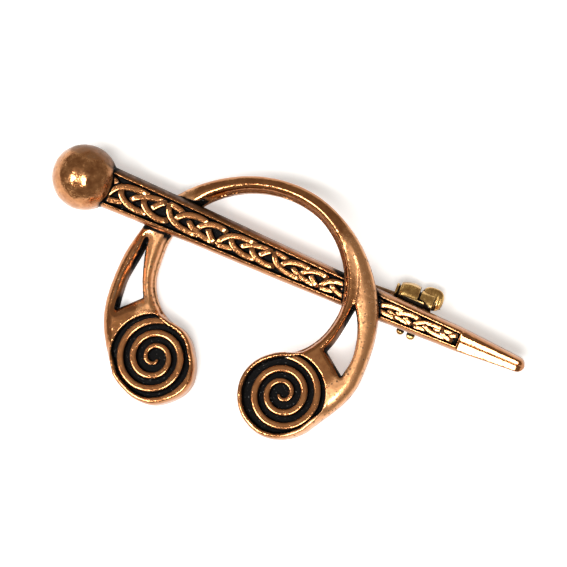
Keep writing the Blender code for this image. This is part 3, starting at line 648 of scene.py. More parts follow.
def innerSide(side):
    low, discAngle = hoop["shoulder"]
    return towardsDisc("opening", hoop["openingCentre"], hoop["openingRadius"], low, 90, discAngle, -1, side)


def discSide(side):
    return [discPoint(side, angle)[0] for angle in np.linspace(hoop["hip"][1], hoop["shoulder"][1], 110)]


def hoopOutline():
    right, left = (outerSide(side) + discSide(side) + innerSide(side)[::-1] for side in (1, -1))
    return np.array(right + left[::-1][1:-1])


def windowOutline(side):
    outer, inner = (smoothPath(points) for points in windowPoints[side])
    foot = np.linspace(outer[-1], inner[0], 14)[1:-1]
    return np.vstack([outer, foot, inner[:-1]])


def evenly(points, step, closed=False):
    # the same line with its points spread evenly
    path = np.array(points)
    if closed:
        path = np.vstack([path, path[:1]])
    reach = np.concatenate([[0], np.cumsum(lengths(np.diff(path, axis=0)))])
    marks = np.linspace(0, reach[-1], max(2, int(reach[-1] / step)), endpoint=not closed)
    return np.stack([np.interp(marks, reach, path[:, k]) for k in range(2)], axis=1)


def insideLoop(points, loop):
    x, y = points.T
    inside = np.zeros(len(points), bool)
    for a, b in zip(loop, np.roll(loop, -1, axis=0)):
        if a[1] != b[1]:
            crosses = (a[1] > y) != (b[1] > y)
            inside ^= crosses & (x < (b[0] - a[0]) * (y - a[1]) / (b[1] - a[1]) + a[0])
    return inside


def nearest(points, border):
    # which of the border's points is nearest to each point, and how far away it is
    tree = KDTree(len(border))
    for k, (x, y) in enumerate(border):
        tree.insert((x, y, 0.0), k)
    tree.balance()
    found = [tree.find((x, y, 0.0)) for x, y in points]
    return np.array([k for _, k, _ in found], int), np.array([gap for _, _, gap in found])


def edgeDistance(points, border):
    return nearest(points, border)[1]


def rounded(distance, reach):
    # quarter-round rise from an edge, 0 at the edge and 1 further in than reach
    return np.sqrt(1 - (1 - np.clip(distance / reach, 0, 1)) ** 2)


def crestShare(points):
    # 1 on the crest beside the left window, fading to both sides and at its ends
    place, width, _ = hoop["crest"]
    past, fade = hoop["crestEnds"]
    side = evenly(smoothPath(windowPoints[-1][0]), 2 * hoop["edgeStep"])
    off = (edgeDistance(points, side) - place) / width
    x, y = points.T
    ends = above(y, side[-1][1], fade) * below(y, side[0][1] + past, fade)
    return np.exp(-off ** 2) * ends * (x < -15.5)


def creaseFall(points):
    # how much of the valley's depth each point has
    crease = evenly(smoothPath(creasePoints), hoop["edgeStep"])
    nearby = nearest(points, crease)[0]
    ways = np.gradient(crease, axis=0)[nearby]
    gap = points - crease[nearby]
    away = lengths(gap)
    width = np.where(ways[:, 0] * gap[:, 1] - ways[:, 1] * gap[:, 0] > 0, *hoop["creaseWidth"])
    fade = (1 - nearby / (len(crease) - 1)) ** 0.7
    started = smoothStep((points[:, 1] - creasePoints[0][1] + 1.5) / 1.5)
    return fade * started * np.exp(-(away / width) ** 2)


def hoopHeights(points):
    # heights of the hoop's top and back over its mid-plane
    half = hoop["thickness"] / 2
    edge = hoop["sideHeight"] - half
    leaning = above(points[:, 0], -3, 6)
    outer, opening, rim, window = (
        edgeDistance(points, np.vstack([evenly(line(side), hoop["edgeStep"], line is windowOutline)
                                        for side in sides]))
        for line in (outerSide, innerSide, discSide, windowOutline))
    blend = hoop["discBlend"]
    fromDiscs = [lengths(points - hoop["discCentre"][side]) - hoop["discRadius"][side] for side in sides]
    inDisc = below(np.min(fromDiscs, axis=0), blend, blend)

    def reachFor(reach):
        return reach + (hoop["rimReach"] - reach) * inDisc

    left, right = (hoop["windowReach"][side] for side in sides)
    rise = np.min([rounded(outer, reachFor(hoop["outerReach"])),
                   rounded(opening - hoop["ledge"] * (1 - inDisc), reachFor(hoop["innerReach"])),
                   rounded(rim, hoop["rimReach"]),
                   rounded(window, reachFor(left + (right - left) * leaning))], axis=0)
    inward = np.min([outer, opening, window], axis=0)
    bow = hoop["arch"] * (1 - inDisc) * (1 - np.clip(inward / hoop["archReach"], 0, 1)) ** 2
    top = edge + (half - edge) * rise - bow * rise
    top = top - hoop["creaseDepth"] * creaseFall(points)
    top = top + hoop["crest"][2] * crestShare(points)
    borders = np.min([inward, rim], axis=0)
    wall = spirals["recessWall"]
    offRim = above(borders, spirals["rimLeast"], wall)
    for side in sides:
        reach = lengths(points - spirals["recessCentre"][side])
        sunk = below(reach, spirals["recessRadius"] + wall / 2, wall) * offRim
        top = top + (half - spirals["recessDepth"] - top) * sunk
    back = hoop["backRounding"] * (1 - rounded(borders, hoop["backRounding"])) - half
    return top, back


def hoopField(loops, border):
    # a grid, with closer rows along every edge and round the recesses
    step = hoop["step"]
    spans = (np.arange(low, high, step) for low, high in zip(border.min(axis=0), border.max(axis=0)))
    field = [np.stack([axis.ravel() for axis in np.meshgrid(*spans)], axis=1)]
    for inset in hoop["edgeRows"]:
        for loop in loops:
            way = np.roll(loop, -1, axis=0) - np.roll(loop, 1, axis=0)
            way /= lengths(way)[:, None]
            normal = np.stack([-way[:, 1], way[:, 0]], axis=1)
            field += [loop + normal * inset, loop - normal * inset]
    for side in sides:
        x, y = spirals["recessCentre"][side]
        for offset in spirals["wallRows"]:
            reach = spirals["recessRadius"] + offset
            field.append(np.array([(x + reach * math.cos(a), y + reach * math.sin(a))
                                   for a in np.radians(np.linspace(0, 360, 240))[:-1]]))
    return np.vstack(field)


def hoopMesh():
    # the outline filled with points, lifted to the top's and the back's heights, and walled in
    loops = [evenly(loop, hoop["step"], True)
             for loop in (hoopOutline(), windowOutline(-1), windowOutline(1))]
    border = np.vstack(loops)

    def inMetal(spots):
        outer, left, right = (insideLoop(spots, loop) for loop in loops)
        return outer & ~left & ~right

    points = hoopField(loops, border)
    points = points[inMetal(points)]
    finer = np.vstack([evenly(loop, hoop["edgeStep"], True) for loop in loops])
    points = points[edgeDistance(points, finer) > hoop["edgeClear"]]
    edges, base = [], 0
    for loop in loops:
        edges += [(base + k, base + (k + 1) % len(loop)) for k in range(len(loop))]
        base += len(loop)
    spots = [Vector(spot) for spot in np.vstack([border, points])]
    flat, _, faces, *_ = delaunay_2d_cdt(spots, edges, [], 0, 1e-5)
    flat = np.array([tuple(spot) for spot in flat])
    kept = inMetal(np.array([flat[list(face)].mean(axis=0) for face in faces]))
    faces = [tuple(face) for face, keep in zip(faces, kept) if keep]
    count = len(flat)
    solid = [(*spot, height) for heights in hoopHeights(flat) for spot, height in zip(flat, heights)]
    uses = {}
    for face in faces:
        for a, b in zip(face, face[1:] + face[:1]):
            key = (min(a, b), max(a, b))
            uses[key] = None if key in uses else (a, b)
    walls = [(b, a, a + count, b + count) for a, b in filter(None, uses.values())]
    under = [tuple(k + count for k in face[::-1]) for face in faces]

    def clean(shape):
        bmesh.ops.delete(shape, geom=[v for v in shape.verts if not v.link_faces], context="VERTS")
        turnOutward(shape)

    return edited(meshFrom("hoop", solid, faces + under + walls), clean)


def spiralMeshes(tree, material):
    floor = hoop["thickness"] / 2 - spirals["recessDepth"]
    middle = floor + spirals["crest"] - ridgeSection["Height"] / 2
    start = spirals["start"]
    shiftX, shiftY = spirals["eyeShift"]
    meshes = []
    for side in sides:
        reach = spirals["reach"][side]
        turns = (reach - start) / spirals["pitch"]
        meshes.append(grown("coil", bpy.data.meshes.new("coil"), tree, {
            "Turns": turns, "Inner Radius": start, "Outer Radius": reach, "Anticlockwise": side > 0,
            "Start Angle": math.radians(spirals["endAngle"][side] - side * 360 * turns),
            "Centre": (*spirals["eye"][side], middle), "Eye Shift": (-side * shiftX, shiftY, 0.0),
            "Material": material}))
    return meshes


# Ageing: dents, then masks for the black in the hollows, painted shade on up-facing slopes, and the bright
# rubbed edges with painted highlights

# the ageing tree's own sizes
ageing = {
    "Swell": 0.028,         # soft unevenness of the casting, in millimetres
    "Swell Size": 1.1,
    "Grain": 0.006,
    "Grain Size": 0.28,
    "Ball Dents": 0.07,
    "Ball Dent Size": 1.5,
    "Reach": 2.4,           # how far away metal still darkens a hollow
    "Lift": 0.06,           # how far off the skin the rays start that look for it
}

calm = 0.22                 # share of the swell and the grain on the ribbons and ridges
rayCount = 26
wearPasses = 5


def spreadDirections(count):
    # evenly spread over half a sphere, the same each run
    ways = []
    for k in range(count):
        z = (k + 0.5) / count
        turn, flat = k * math.pi * (3 - math.sqrt(5)), math.sqrt(1 - z * z)
        ways.append((flat * math.cos(turn), flat * math.sin(turn), z))
    return ways


def ageingTree():
    # pushes the skin in and out a little, then stores how shut in each point is
    tree, entry, geo, op = newTree("ageingMasks", {
        "Geometry": "Geometry", "Around": "Object", "Ball": (0.0, 0.0, 0.0), "Ball Radius": bar["ballRadius"],
        **ageing, "Material": "Material"})

    def maths(operation, a, b=0.0):
        return op("Math", {0: a, 1: b}, operation=operation)

    def vectors(operation, a, b=(0.0, 0.0, 0.0), output="Vector"):
        second = "Scale" if operation == "SCALE" else 1
        return op("VectorMath", {0: a, second: b}, operation=operation).outputs[output]

    def waves(size, height, detail):
        cloud = op("TexNoise", {"Scale": maths("DIVIDE", 1.0, size), "Detail": detail})
        return maths("MULTIPLY", maths("SUBTRACT", cloud, 0.5), maths("MULTIPLY", height, 2.0))

    place, normal = geo("InputPosition"), geo("InputNormal")
    bumps = maths("ADD", waves(entry["Swell Size"], entry["Swell"], 1.0),
                  waves(entry["Grain Size"], entry["Grain"], 2.0))
    fromBall = vectors("LENGTH", vectors("SUBTRACT", place, entry["Ball"]), output="Value")
    onBall = op("MapRange", {"Value": maths("SUBTRACT", fromBall, entry["Ball Radius"]),
                             "From Min": 0.15, "From Max": 0.02, "To Min": 0.0, "To Max": 1.0})
    facets = op("TexVoronoi", {"Scale": maths("DIVIDE", 1.0, entry["Ball Dent Size"]), "Smoothness": 0.25},
                feature="SMOOTH_F1")
    dents = maths("MULTIPLY", maths("SUBTRACT", facets, 0.4), maths("MULTIPLY", entry["Ball Dents"], onBall))
    push = vectors("SCALE", normal, maths("ADD", bumps, dents))
    moved = geo("SetPosition", {"Geometry": entry["Geometry"], "Offset": push})
    around = geo("ObjectInfo", {"Object": entry["Around"]}).outputs["Geometry"]
    start = vectors("ADD", place, vectors("SCALE", normal, entry["Lift"]))
    shut, weights = 0.0, 0.0
    for way in spreadDirections(rayCount):
        lean = vectors("DOT_PRODUCT", normal, way, output="Value")
        ray = geo("Raycast", {
            "Target Geometry": around, "Source Position": start, "Ray Length": entry["Reach"],
            "Ray Direction": vectors("SCALE", way, maths("SIGN", lean))}).outputs
        near = maths("SUBTRACT", 1.0, maths("DIVIDE", ray["Hit Distance"], entry["Reach"]))
        weight = maths("ABSOLUTE", lean)
        shut = maths("ADD", shut, maths("MULTIPLY", weight, maths("MULTIPLY", ray["Is Hit"], near)))
        weights = maths("ADD", weights, weight)
    stored = geo("StoreNamedAttribute", {
        "Geometry": moved, "Name": "recess", "Value": maths("DIVIDE", shut, weights)},
        data_type="FLOAT", domain="POINT")
    return closeTree(tree, stored, entry["Material"])


def vertexValues(mesh, key):
    # each point's place or normal
    values = np.empty(len(mesh.vertices) * 3)
    mesh.vertices.foreach_get(key, values)
    return values.reshape(-1, 3)


def standingOut(mesh, points, normals):
    # how far each point stands out of its smoothed surroundings
    pairs = np.empty(len(mesh.edges) * 2, int)
    mesh.edges.foreach_get("vertices", pairs)
    pairs = pairs.reshape(-1, 2)
    a, b = np.concatenate([pairs, pairs[:, ::-1]]).T
    degree = np.maximum(np.bincount(a, minlength=len(points)), 1)[:, None]

    def averaged(values):
        return np.stack([np.bincount(a, column[b], len(points)) for column in values.T], axis=1) / degree

    soft = points
    for _ in range(wearPasses):
        soft = averaged(soft)
    stand = ((points - soft) * normals).sum(axis=1)[:, None]
    return (stand + averaged(stand))[:, 0] / 2


def flatTo(points, place):
    back = np.array(place.inverted())
    return points @ back[:3, :3].T + back[:3, 3]


# patina, wear, painted shade and a painted highlight, place by place
dirt = {
    "blur": 0.15,           # how softly the black ends on a wall
    "floorBlur": 0.1,       # and round a floor
    "windowWall": (0.42, 0.32),  # distance from a window's edge, and depth under the top
    "recess": (0.12, 0.14, 0.22),  # spill past the circle, into the rim, and depth under the top
    "openingWall": (1.6, 0.35, 0.7),  # out from the left of the opening, down from the top, up from the back
    "openingSoot": 0.62,
    "channel": (0.12, 0.18),  # spill past the channel's sides, and depth under the top
    "collar": (0.1, 0.35, 0.9),  # ring round the ball's foot: distance, width and share of black
    "ballWorn": 0.36,
    "crestWear": 0.07,      # painted highlight along the sharp crest beside the left window
    "rightArm": ((10.5, 4.0), (16.8, 1.6)),  # scuffed: start and blur, along x and out from the hoop's centre
    "leftArm": ((-10.5, 2.0), (3.5, 4.0), (18.2, 1.2)),  # along x, along y and out from the opening's centre
    "tarnish": ((1.10, 0.3), (0.98, 0.45)),  # painted shade on slopes that face the hoop's top, on the bar and on the ball
    "tarnishLean": 0.25,    # least lean of such a slope
}


def castingDirt(points, normals):
    # blacking left in the windows, the discs' recesses and the bar's channel; painted shade on slopes facing
    # the hoop's top; a painted highlight on the left window's crest; dull worn places
    inHoop = flatTo(points, hoopPlace)
    flat, height = inHoop[:, :2], inHoop[:, 2]
    half, step = hoop["thickness"] / 2, 2 * hoop["edgeStep"]
    ofHoop = np.abs(height) < half + 0.15
    soot, bright = np.zeros(len(points)), np.zeros(len(points))
    outline = evenly(hoopOutline(), step, True)
    blur, floorBlur = dirt["blur"], dirt["floorBlur"]

    def blacken(where, amount):
        soot[where] = np.maximum(soot[where], amount)

    for side in sides:
        loop = evenly(windowOutline(side), step, True)
        near = ofHoop & (lengths(flat - loop.mean(axis=0)) < 9)
        reach, depth = dirt["windowWall"]
        wall = below(edgeDistance(flat[near], loop), reach, blur)
        blacken(near, wall * below(height[near], half - depth, blur))
        spill, rimSpill, depth = dirt["recess"]
        reach = lengths(flat - spirals["recessCentre"][side])
        near = ofHoop & (reach < spirals["recessRadius"] + 0.3) & (height > 0)
        within = below(reach[near], spirals["recessRadius"] + spill, floorBlur)
        within *= above(edgeDistance(flat[near], outline), spirals["rimLeast"] - rimSpill, floorBlur)
        blacken(near, within * below(height[near], half - depth, blur))
    fromMiddle = lengths(flat - hoop["openingCentre"])
    fromCentre = lengths(flat - hoop["centre"])
    out, fromTop, fromBack = dirt["openingWall"]
    blacken(ofHoop & (fromMiddle < hoop["openingRadius"] + out) & (flat[:, 0] < -8)
            & (height < half - fromTop) & (height > fromBack - half), dirt["openingSoot"])
    (x, y), (rightX, rightOut), (leftX, leftY, leftOut) = flat.T, dirt["rightArm"], dirt["leftArm"]
    worn = ofHoop * np.maximum(above(x, *rightX) * above(fromCentre, *rightOut),
                               below(x, *leftX) * above(y, *leftY) * below(fromMiddle, *leftOut))
    # painted highlight line along the left window's crest, stored with the wear
    near = ofHoop & (x < -12) & (height > 0)
    bright[near] = dirt["crestWear"] * crestShare(flat[near])
    along, across, up = flatTo(points, barPlace).T
    start, neck, top = bar["channelStart"], bar["neck"], bar["thickness"]
    across = np.abs(across - barSway(along))
    spill, depth = dirt["channel"]
    sideAt = np.array([channelHalf(x) for x in np.clip(along, start, bar["length"])]) + spill
    inChannel = (along > start - 0.1) & (along < neck + 0.1) & (up > 1.0)
    everywhere = slice(None)
    blacken(everywhere, inChannel * below(across, sideAt, floorBlur) * below(up, top - depth, blur))
    fromBall = lengths(points - np.array(ballCentre)) - bar["ballRadius"]
    onBall = (np.abs(fromBall) < 0.15) & (along < 4.6)
    worn[onBall] = dirt["ballWorn"]
    # painted shade: slopes of the bar and the ball that face the hoop's top are blackened
    upward = normals @ np.array(barPlace.to_3x3().col[1])
    share = 1 - 0.35 * above(along, 20.0, 20.0) - 0.4 * above(along, neck - 6.0, 6.0)
    onBar = share * ((along > 4.0) & (across < 3.4) & (up > 0.2))
    for where, (amount, lean) in zip((onBar, onBall), dirt["tarnish"]):
        blacken(everywhere, where * amount * above(upward, dirt["tarnishLean"], lean))
    off, width, amount = dirt["collar"]
    blacken(everywhere, amount * smoothStep(1 - np.abs(fromBall - off) / width) * (along > 3.0))
    return soot, worn, bright


def flankDirt(points, normals):
    # the ribbons' and the ridges' upright sides stay black
    return below(normals @ np.array(hoopPlace.to_3x3().col[2]), 0.62, 0.3), -0.2, 0.0


def grime(points, normals):
    # half black over the catch's middle, under the bar, fading towards both sides
    across = flatTo(points, pinPlace)[:, 1]
    return 0.5 * below(across, 1.3, 1.6) * above(across, -3.0, 1.5), 0.5, 0.0


def aged(name, mesh, tree, around, rule, material):
    # dented and with its masks stored, the ribbons and ridges less than the rest
    values = {**ageing, "Around": around, "Ball": ballCentre, "Material": material}
    if rule is flankDirt:
        values["Swell"] *= calm
        values["Grain"] *= calm
    mesh = grown(name, mesh, tree, values)
    points, normals = vertexValues(mesh, "co"), vertexValues(mesh, "normal")
    soot, worn, bright = rule(points, normals)
    # convex edges for wear, plus the crest's painted highlight
    storeValues(mesh, "wear", standingOut(mesh, points, normals) + bright)
    # black patina in hollows, together with the painted shade on up-facing slopes
    storeValues(mesh, "soot", soot)
    storeValues(mesh, "worn", worn)
    return mesh


# Findings: bracket, rivet, needle, housing and sleeve, in the pin's frame

findings = {
    "edge": 0.07,           # rounding of stamped edges, in millimetres
    "seatGap": 0.3,
    "solderSpread": 0.35,
    "solderDepth": 0.15,    # how far the solder sinks into the bar's back
    "bracketLength": 4.6,
    "bracketHalf": 2.2,
    "padLength": 3.3,
    "padStart": 29.15,
    "padEdge": -4.45,
    "padHeights": (-0.8, -0.3),
    "padSolder": (-3.2, -0.6),  # across the bar
    "voxel": 0.075,
    "triangles": 60000,
}

# rolled strap that holds the sleeve, and its two lugs showing below the bar
housing = {
    "run": (28.3, 31.3),
    "radius": 2.4,
    "bulge": 0.22,
    "bulgeAt": 30.1,
    "wall": 0.7,
    "mouth": 0.80,
    "edge": 0.16,
    "facets": 9,
    "lugs": ((30.42, -4.86, 0.60), (32.10, -5.02, 0.66)),
    "lugThickness": 0.32,
}

# split tube that turns inside it: stop, tube, head and ribbed thumb lever
sleeve = {
    "bore": 0.85,
    "slot": 0.65,
    "edge": 0.14,
    "parts": ((27.6, 28.1, 1.75), (27.9, 32.0, 1.55), (31.5, 33.7, 1.9)),  # start, end, radius
    "lever": ((33.3, 1.10), (1.75, 1.72, 0.88)),  # centre and half sizes
    "leverSquareness": 2.6,
    "ribStep": 0.46,
    "ribDepth": 0.045,
}


def faceted(angle, count, share):
    # radius of a polygon with softened corners, against its circle
    step = 2 * math.pi / count
    return 1 + share * (math.cos(step / 2) / math.cos(angle % step - step / 2) - 1)


def splitTube(run, radiusAt, bore, slot, edge, facets=0):
    # a tube open along its lower side, with rounded ends
    start, end = run
    stations = [(start + edge * (1 - math.sin(t)), edge * (1 - math.cos(t))) for t in (0, 0.5, 1.0, 1.5708)]
    stations += [(x, 0.0) for x in np.linspace(start + edge, end - edge, 14)[1:-1]]
    stations += [(start + end - x, inset) for x, inset in stations[3::-1]]
    rings = []
    for x, inset in stations:
        ring = []
        for radius, ways, count in ((radiusAt(x) - inset, 1, 72), (bore + inset, -1, 36)):
            gap = math.asin(min(1.0, (slot + inset) / radius))
            for turn in np.linspace(gap, 2 * math.pi - gap, count)[::ways]:
                reach = radius * (faceted(turn, facets, 0.7) if facets and ways > 0 else 1)
                ring.append((x, reach * math.sin(turn), -pinFacts["depth"] - reach * math.cos(turn)))
        rings.append(ring)
    return loft(rings)


def pillow(centre, half, squareness, ribStep=0.0, ribDepth=0.0):
    # a rounded block, swept along x, with optional ribs across it
    rings = []
    for u in np.sin(np.linspace(-1.5, 1.5, 72)):
        size = (1 - abs(u) ** squareness) ** (1 / squareness)
        rib = 1 + (ribDepth * math.cos(2 * math.pi * half[0] * u / ribStep) if ribStep else 0)
        ring = []
        for turn in np.linspace(0, 2 * math.pi, 64, endpoint=False):
            wave = [math.copysign(abs(f) ** (2 / squareness), f) for f in (math.cos(turn), math.sin(turn))]
            ring.append((centre[0] + half[0] * u, centre[1] + half[1] * size * wave[0],
                         centre[2] + half[2] * size * rib * wave[1]))
        rings.append(ring)
    return loft(rings)


def housingMesh():
    start, end = housing["run"]

    def radiusAt(x):
        away = (x - housing["bulgeAt"]) / (end - start)
        return housing["radius"] + housing["bulge"] * (1 - (2.2 * away) ** 2) - 0.1

    strap = splitTube((start, end), radiusAt, housing["radius"] - housing["wall"], housing["mouth"],
                      housing["edge"], housing["facets"])
    low, high = findings["padHeights"]
    padStart = findings["padStart"]
    pad = boxLoft((padStart, findings["padEdge"], low), (padStart + findings["padLength"], 0.3, high))
    lugs = [pillow((x, y, (low + high) / 2), (radius, radius, housing["lugThickness"]), 2.0)
            for x, y, radius in housing["lugs"]]
    return fused("housing", [strap, pad, *lugs], findings["voxel"], findings["triangles"])


def sleeveMesh():
    tubes = [splitTube((start, end), lambda x, radius=radius: radius, sleeve["bore"], sleeve["slot"],
                       sleeve["edge"]) for start, end, radius in sleeve["parts"]]
    (x, y), half = sleeve["lever"]
    lever = pillow((x, y, -pinFacts["depth"]), half, sleeve["leverSquareness"], sleeve["ribStep"],
                   sleeve["ribDepth"])
    return fused("sleeve", [*tubes, lever], findings["voxel"], findings["triangles"])


def solderMeshes():
    # a little metal run out between each plate and the bar's back
    spread = findings["solderSpread"]
    low, high = -findings["seatGap"] - 0.05, findings["solderDepth"]
    length, half = findings["bracketLength"] / 2 + spread, findings["bracketHalf"] - 0.6
    start, run = findings["padStart"] - spread, findings["padLength"] + 2 * spread
    first, last = findings["padSolder"]
    return [boxLoft((-length, -half, low), (length, half, high)),
            boxLoft((start, first, low), (start + run, last, high))]


def softened(name, node, width, segments=3):
    # a copy of a CAD node with its edges rounded
    def merge(shape):
        bmesh.ops.remove_doubles(shape, verts=shape.verts, dist=1e-6)
        bmesh.ops.dissolve_limit(shape, angle_limit=math.radians(2), verts=shape.verts, edges=shape.edges)

    mesh = edited(frame["nodes"][node].data.copy(), merge)
    mesh.materials.clear()
    item = addObject(name, mesh)
    bevel = item.modifiers.new("round", "BEVEL")
    bevel.width = width * mm
    bevel.segments = segments
    bevel.limit_method = "ANGLE"
    bevel.angle_limit = math.radians(35)
    return finished(item, name)


# Finishes

copper = {
    "brown": (0.60, 0.262, 0.095),
    "deep": (0.44, 0.165, 0.052),
    "bare": (0.95, 0.49, 0.23),
    # rubbed copper, whitened so that it also paints the highlights
    "rose": (1.0, 0.83, 0.66),
    "black": (0.003, 0.0028, 0.003),
    # grey specks in the black: pitted metal showing, and painted glints
    "speck": (0.50, 0.48, 0.46),
}

brass = {
    "brown": (1.0, 0.64, 0.21),
    "deep": (0.44, 0.21, 0.056),
    "bare": (0.98, 0.64, 0.24),
    "rose": (0.92, 0.66, 0.30),
    "black": (0.018, 0.012, 0.007),
    "speck": (0.10, 0.06, 0.03),
}

wire = {
    "light": (0.44, 0.29, 0.18),
    "dark": (0.26, 0.15, 0.08),
    "rough": 0.26,
}


def maskGroup(name, build):
    # a node group whose outputs are masks or normals only
    group = bpy.data.node_groups.new(name, "ShaderNodeTree")
    outputs = build(nodeMaker(group))
    for label in outputs:
        kind = "Vector" if label == "Normal" else "Float"
        group.interface.new_socket(label, in_out="OUTPUT", socket_type="NodeSocket" + kind)
    feed(group, group.nodes.new("NodeGroupOutput"), outputs)
    return group


def mapped(make, value, low, high, toLow=0.0, toHigh=1.0, **settings):
    return make("MapRange", {"Value": value, "From Min": low, "From Max": high, "To Min": toLow,
                             "To Max": toHigh}, **settings)


def agedMasks(make):
    # black hollows with the painted shade on up-facing slopes, rubbed edges with painted highlights, patches
    # of tone and scuffed places
    def stored(name):
        return make("Attribute", attribute_name=name, attribute_type="GEOMETRY").outputs["Fac"]

    def maths(operation, a, b, c=0.0):
        return make("Math", {0: a, 1: b, 2: c}, operation=operation)

    def eased(value, low, high):
        return mapped(make, value, low, high, interpolation_type="SMOOTHSTEP")

    place = make("TexCoord").outputs["Object"]
    patches = make("TexNoise", {"Vector": place, "Scale": 900.0, "Detail": 4.0, "Roughness": 0.6})
    uneven = maths("SUBTRACT", patches, 0.5)
    hollow = maths("MULTIPLY_ADD", uneven, 0.10, stored("recess"))
    black = eased(maths("MULTIPLY_ADD", stored("soot"), 0.20, hollow), 0.12, 0.26)
    # rubbed edges, and the painted highlight along the left window's crest
    bright = eased(maths("MULTIPLY_ADD", uneven, 0.02, stored("wear")), 0.06, 0.16)
    worn = eased(maths("MULTIPLY_ADD", uneven, 1.2, stored("worn")), 0.1, 1.0)
    cells = make("TexVoronoi", {"Vector": place, "Scale": 1700.0})
    pits = maths("MULTIPLY", mapped(make, cells, 0.16, 0.42, 0.9, 0.0), mapped(make, patches, 0.43, 0.54))
    return {"Black": maths("MAXIMUM", maths("MULTIPLY", pits, worn), black), "Bright": bright,
            "Patches": patches, "Worn": worn}


def fineGrain(make):
    # uneven casting skin: soft waves, fine grain and small pits
    place = make("TexCoord").outputs["Object"]
    waves = make("TexNoise", {"Vector": place, "Scale": 1500.0, "Detail": 2.0, "Roughness": 0.5,
                              "Distortion": 0.6})
    fine = make("TexNoise", {"Vector": place, "Scale": 5200.0, "Detail": 3.0, "Roughness": 0.65})
    pits = make("TexVoronoi", {"Vector": place, "Scale": 2100.0})
    height = make("Math", {0: fine, 1: mapped(make, pits, 0.08, 0.30, -0.8, 0.0)}, operation="ADD")
    soft = make("Bump", {"Height": waves, "Strength": 0.5, "Distance": 0.00005})
    bump = make("Bump", {"Height": height, "Strength": 0.35, "Distance": 0.00003, "Normal": soft})
    return {"Normal": bump, "Fine": fine}


def newMaterial(name):
    material = bpy.data.materials.new(name)
    material.use_nodes = True
    tree = material.node_tree
    return material, tree, tree.nodes["Principled BSDF"], nodeMaker(tree)


def ramp(make, value, stops):
    node = make("ValToRGB", {0: value})
    for element, (place, colour) in zip(node.color_ramp.elements, stops):
        element.position = place
        element.color = (*colour, 1.0)
    return node


def mixed(make, factor, a, b):
    # blends two colours, or two plain numbers
    if isinstance(b, float):
        return make("Mix", {"Factor": factor, 2: a, 3: b})
    b = (*b, 1.0) if isinstance(b, tuple) else b
    return make("Mix", {"Factor": factor, 6: a, 7: b}, data_type="RGBA").outputs[2]


def agedMetal(name, colours, masks, grain):
    material, tree, shader, make = newMaterial(name)
    mask, skin = (make("Group", node_tree=group).outputs for group in (masks, grain))
    tone = ramp(make, mask["Patches"], ((0.30, colours["deep"]), (0.70, colours["brown"])))
    scoured = make("Math", {0: mask["Worn"], 1: 0.75}, operation="MULTIPLY")
    # rubbed edges turn to the whitened copper, which also paints highlights on them
    rubbed = mixed(make, mask["Bright"], mixed(make, scoured, tone, colours["bare"]), colours["rose"])
    # the black, flecked with pitted metal and painted glints
    specks = ramp(make, skin["Fine"], ((0.67, colours["black"]), (0.74, colours["speck"])))
    scuffed = mixed(make, mask["Worn"], mapped(make, skin["Fine"], 0.3, 0.7, 0.10, 0.17), 0.34)
    feed(tree, shader, {
        "Base Color": mixed(make, mask["Black"], rubbed, specks),
        "Metallic": mapped(make, mask["Black"], 0.0, 1.0, 1.0, 0.0),
        "Roughness": mixed(make, mask["Black"], scuffed, 0.50),
        "Normal": skin["Normal"],
        "Specular IOR Level": 0.04,
        "Coat Weight": mapped(make, mask["Black"], 0.0, 1.0, 0.50, 0.0),
        "Coat Roughness": 0.09,
        "Coat IOR": 1.55,
        "Coat Normal": skin["Normal"]})
    return material


def plainMetal(name, facts, grain):
    material, tree, shader, make = newMaterial(name)
    clouds = make("TexNoise", {"Vector": make("TexCoord").outputs["Object"], "Scale": 700.0, "Detail": 4.0})
    feed(tree, shader, {
        "Base Color": ramp(make, clouds, ((0.35, facts["dark"]), (0.65, facts["light"]))),
        "Metallic": 1.0,
        "Roughness": mapped(make, clouds, 0.3, 0.7, facts["rough"] + 0.08, facts["rough"]),
        "Normal": make("Group", node_tree=grain).outputs["Normal"]})
    return material


masks = maskGroup("agedMasks", agedMasks)
grain = maskGroup("fineGrain", fineGrain)
copperFinish = agedMetal("antiquedCopper", copper, masks, grain)
brassFinish = agedMetal("catchBrass", brass, masks, grain)
wireFinish = plainMetal("needleWire", wire, grain)
report("finishes ready")

# Casting

pinPlace = pinPlaceFor(pinFacts)
barPlace = barPlaceFor(pinPlace, pinFacts)
hoopPlace = hoopPlaceFor(hoop["thickness"])
ballCentre = barPlace @ Vector((0, 0, bar["ballLift"]))
voxel, triangleLimit = ((0.1, 190000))


def saddleMesh():
    # fills the channel under the hoop's right arm
    start, end = bar["saddle"]
    low, high = bar["thickness"] - bar["channelDepth"] - 0.2, bar["thickness"] - 0.12
    half = channelHalf((start + end) / 2) + 0.3
    return boxLoft((start, -half, low), (end, half, high))


barSkin = placed(barMesh(), barPlace)
ball = facetedBall(bar["ballRadius"], ballCentre, bar["ballFacets"], barPlace)
body = [placed(saddleMesh(), barPlace), ball, placed(hoopMesh(), hoopPlace),
        *[placed(mesh, pinPlace) for mesh in solderMeshes()]]
report("casting's bodies shaped")
castingMesh = fused("castingSkin", body, voxel, triangleLimit)
ribbonMesh = placed(grown("interlace", knotPaths(), ribbonTree(), {"Material": copperFinish}), barPlace)
coilMesh = placed(joined("coils", spiralMeshes(spiralTree(), copperFinish)), hoopPlace)
report(f"interlace {len(ribbonMesh.polygons)} faces, spirals {len(coilMesh.polygons)} faces")
housingSkin = placed(housingMesh(), pinPlace)
sleeveSkin = placed(sleeveMesh(), pinPlace)


def putInPlace(name, mesh, node, rider, slot):
    item = addObject(name, mesh)
    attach(item, rider)
    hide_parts(node)


